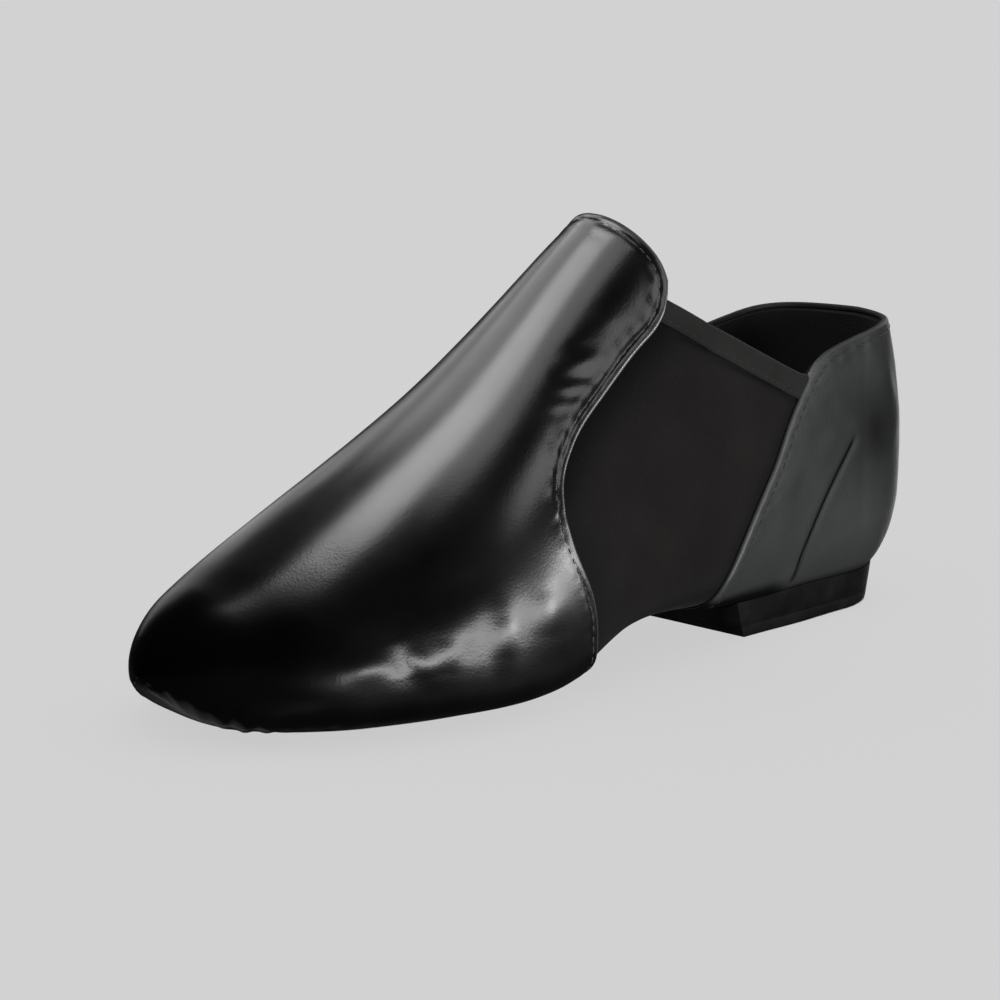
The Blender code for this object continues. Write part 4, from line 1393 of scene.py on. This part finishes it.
# Soft boxes that light the shoe: what they light, middle, what they face, width, height, radiance
SOFT_BOXES = (
    ("key", SHOE, (-37.0, -80.0, 255.0), (-37.0, -36.0, 70.0), 100.0, 118.0, 13.3),
    ("top", SHOE, (50.0, -45.0, 265.0), (50.0, -36.0, 70.0), 70.0, 80.0, 4.5),
    ("bridge", SHOE, (-150.0, -5.0, 262.0), (-20.0, -10.0, 85.0), 110.0, 110.0, 4.0),
    ("lateral", GLOSSY, (500.0, 60.0, 52.5), (0.0, 0.0, 40.0), 800.0, 91.0, 18.0),
    ("side", REST, (500.0, 20.0, 68.0), (0.0, 0.0, 40.0), 700.0, 106.0, 17.0),
    ("behind_lateral", GLOSSY, (300.0, 350.0, 62.0), (0.0, 0.0, 40.0), 300.0, 112.0, 12.0),
    ("medial", SHOE, (-560.0, 60.0, 150.0), (0.0, -20.0, 45.0), 220.0, 260.0, 0.9),
    ("medial_high", SHOE, (-290.0, 30.0, 240.0), (0.0, -10.0, 85.0), 120.0, 130.0, 1.6),
    ("rear", SHOE, (-200.0, 640.0, 240.0), (0.0, 60.0, 50.0), 360.0, 200.0, 2.2),
    ("tongue", SHOE, (190.0, 60.0, 215.0), (15.0, 0.0, 85.0), 90.0, 70.0, 5.0),
    ("bounce", GLOSSY, (-62.0, -135.0, -95.0), (-8.0, -110.0, 8.0), 150.0, 90.0, 0.20),
    ("rim", REST, (-250.0, 540.0, -45.0), (20.0, 112.0, 40.0), 260.0, 240.0, 2.2),
)
SKY = 0.02
BACKDROP = 0.645
FLOOR_SUN = 2.5
FLOOR_SUN_SPOT = (-100.0, 100.0, 900.0)
SHADOW_SHARE = 0.09
FLOOR_SUN_SPREAD = 130.0
FLOOR_TONE = 0.80
FLOOR_TONE_SPREAD = 0.004
FLOOR_GRAIN = 600.0
FLOOR_SIZE = 24.0


def add_light(name, kind, spot, toward, receivers):
    """A light that only the given collection receives."""
    data = bpy.data.lights.new(name, kind)
    lamp = bpy.data.objects.new(name, data)
    STUDIO.objects.link(lamp)
    away = Vector(spot) - Vector(toward)
    turned = away.to_track_quat("Z", "Y").to_matrix().to_4x4()
    lamp.matrix_world = Matrix.Translation(Vector(spot) * MM) @ turned
    lamp.light_linking.receiver_collection = receivers
    lamp.visible_camera = False
    return lamp


def make_lights():
    """Soft boxes round the shoe, and a broad soft light for the floor, little of it shadowed.

    The boxes under the floor stand for its brightness, so the floor doesn't shade them.
    """
    for name, lit, spot, toward, width, height, radiance in SOFT_BOXES:
        lamp = add_light(name, "AREA", spot, toward, lit)
        if spot[2] < 0:
            lamp.light_linking.blocker_collection = SHOE
        data = lamp.data
        data.shape = "RECTANGLE"
        data.size = width * MM
        data.size_y = height * MM
        data.energy = radiance * np.pi * data.size * data.size_y
    for name, share in (("floor_wash", 1 - SHADOW_SHARE), ("floor_shadow", SHADOW_SHARE)):
        lamp = add_light(name, "SUN", FLOOR_SUN_SPOT, (0.0, 0.0, 0.0), STUDIO)
        lamp.data.energy = FLOOR_SUN * share
        lamp.data.angle = np.radians(FLOOR_SUN_SPREAD)
        if name == "floor_wash":
            lamp.light_linking.blocker_collection = STUDIO


def make_sky():
    """A dim room, behind which the camera sees the pale backdrop."""
    world = bpy.data.worlds.new("studio")
    bpy.context.scene.world = world
    world.use_nodes = True
    tree = world.node_tree
    room = tree.nodes["Background"]
    room.inputs["Color"].default_value = (1, 1, 1, 1)
    room.inputs["Strength"].default_value = SKY
    backdrop = node(tree, "ShaderNodeBackground")
    backdrop.inputs["Color"].default_value = (BACKDROP, BACKDROP, BACKDROP, 1)
    rays = node(tree, "ShaderNodeLightPath")
    either = node(tree, "ShaderNodeMixShader",
                  {0: rays.outputs["Is Camera Ray"], 1: room.outputs[0], 2: backdrop.outputs[0]})
    tree.links.new(either.outputs[0], tree.nodes["World Output"].inputs["Surface"])


def make_floor():
    """A plain pale floor that reaches past the frame."""
    mesh = bpy.data.meshes.new("floor")
    half = FLOOR_SIZE / 2
    mesh.from_pydata([(-half, -half, 0), (half, -half, 0), (half, half, 0), (-half, half, 0)], [],
                     [(0, 1, 2, 3)])
    material, tree, shader, place = new_shader("floor")
    low, high = ((FLOOR_TONE + step,) * 3 for step in (-FLOOR_TONE_SPREAD, FLOOR_TONE_SPREAD))
    grain = noise(tree, place, FLOOR_GRAIN, 2.0)
    tree.links.new(mixed(tree, grain, low, high), shader.inputs["Base Color"])
    shader.inputs["Roughness"].default_value = 1.0
    shader.inputs["Specular IOR Level"].default_value = 0.0
    mesh.materials.append(material)
    floor = bpy.data.objects.new("floor", mesh)
    STUDIO.objects.link(floor)
    floor.visible_glossy = False


def main():
    make_camera()
    make_sky()
    make_lights()
    make_floor()
    make_leathers()
    make_elastic_and_lining()
    make_sock()
    make_tapes()
    make_stitches()
    make_seams()
    make_patch()
    make_heel()
    bpy.context.scene.view_settings.view_transform = "Standard"


main()
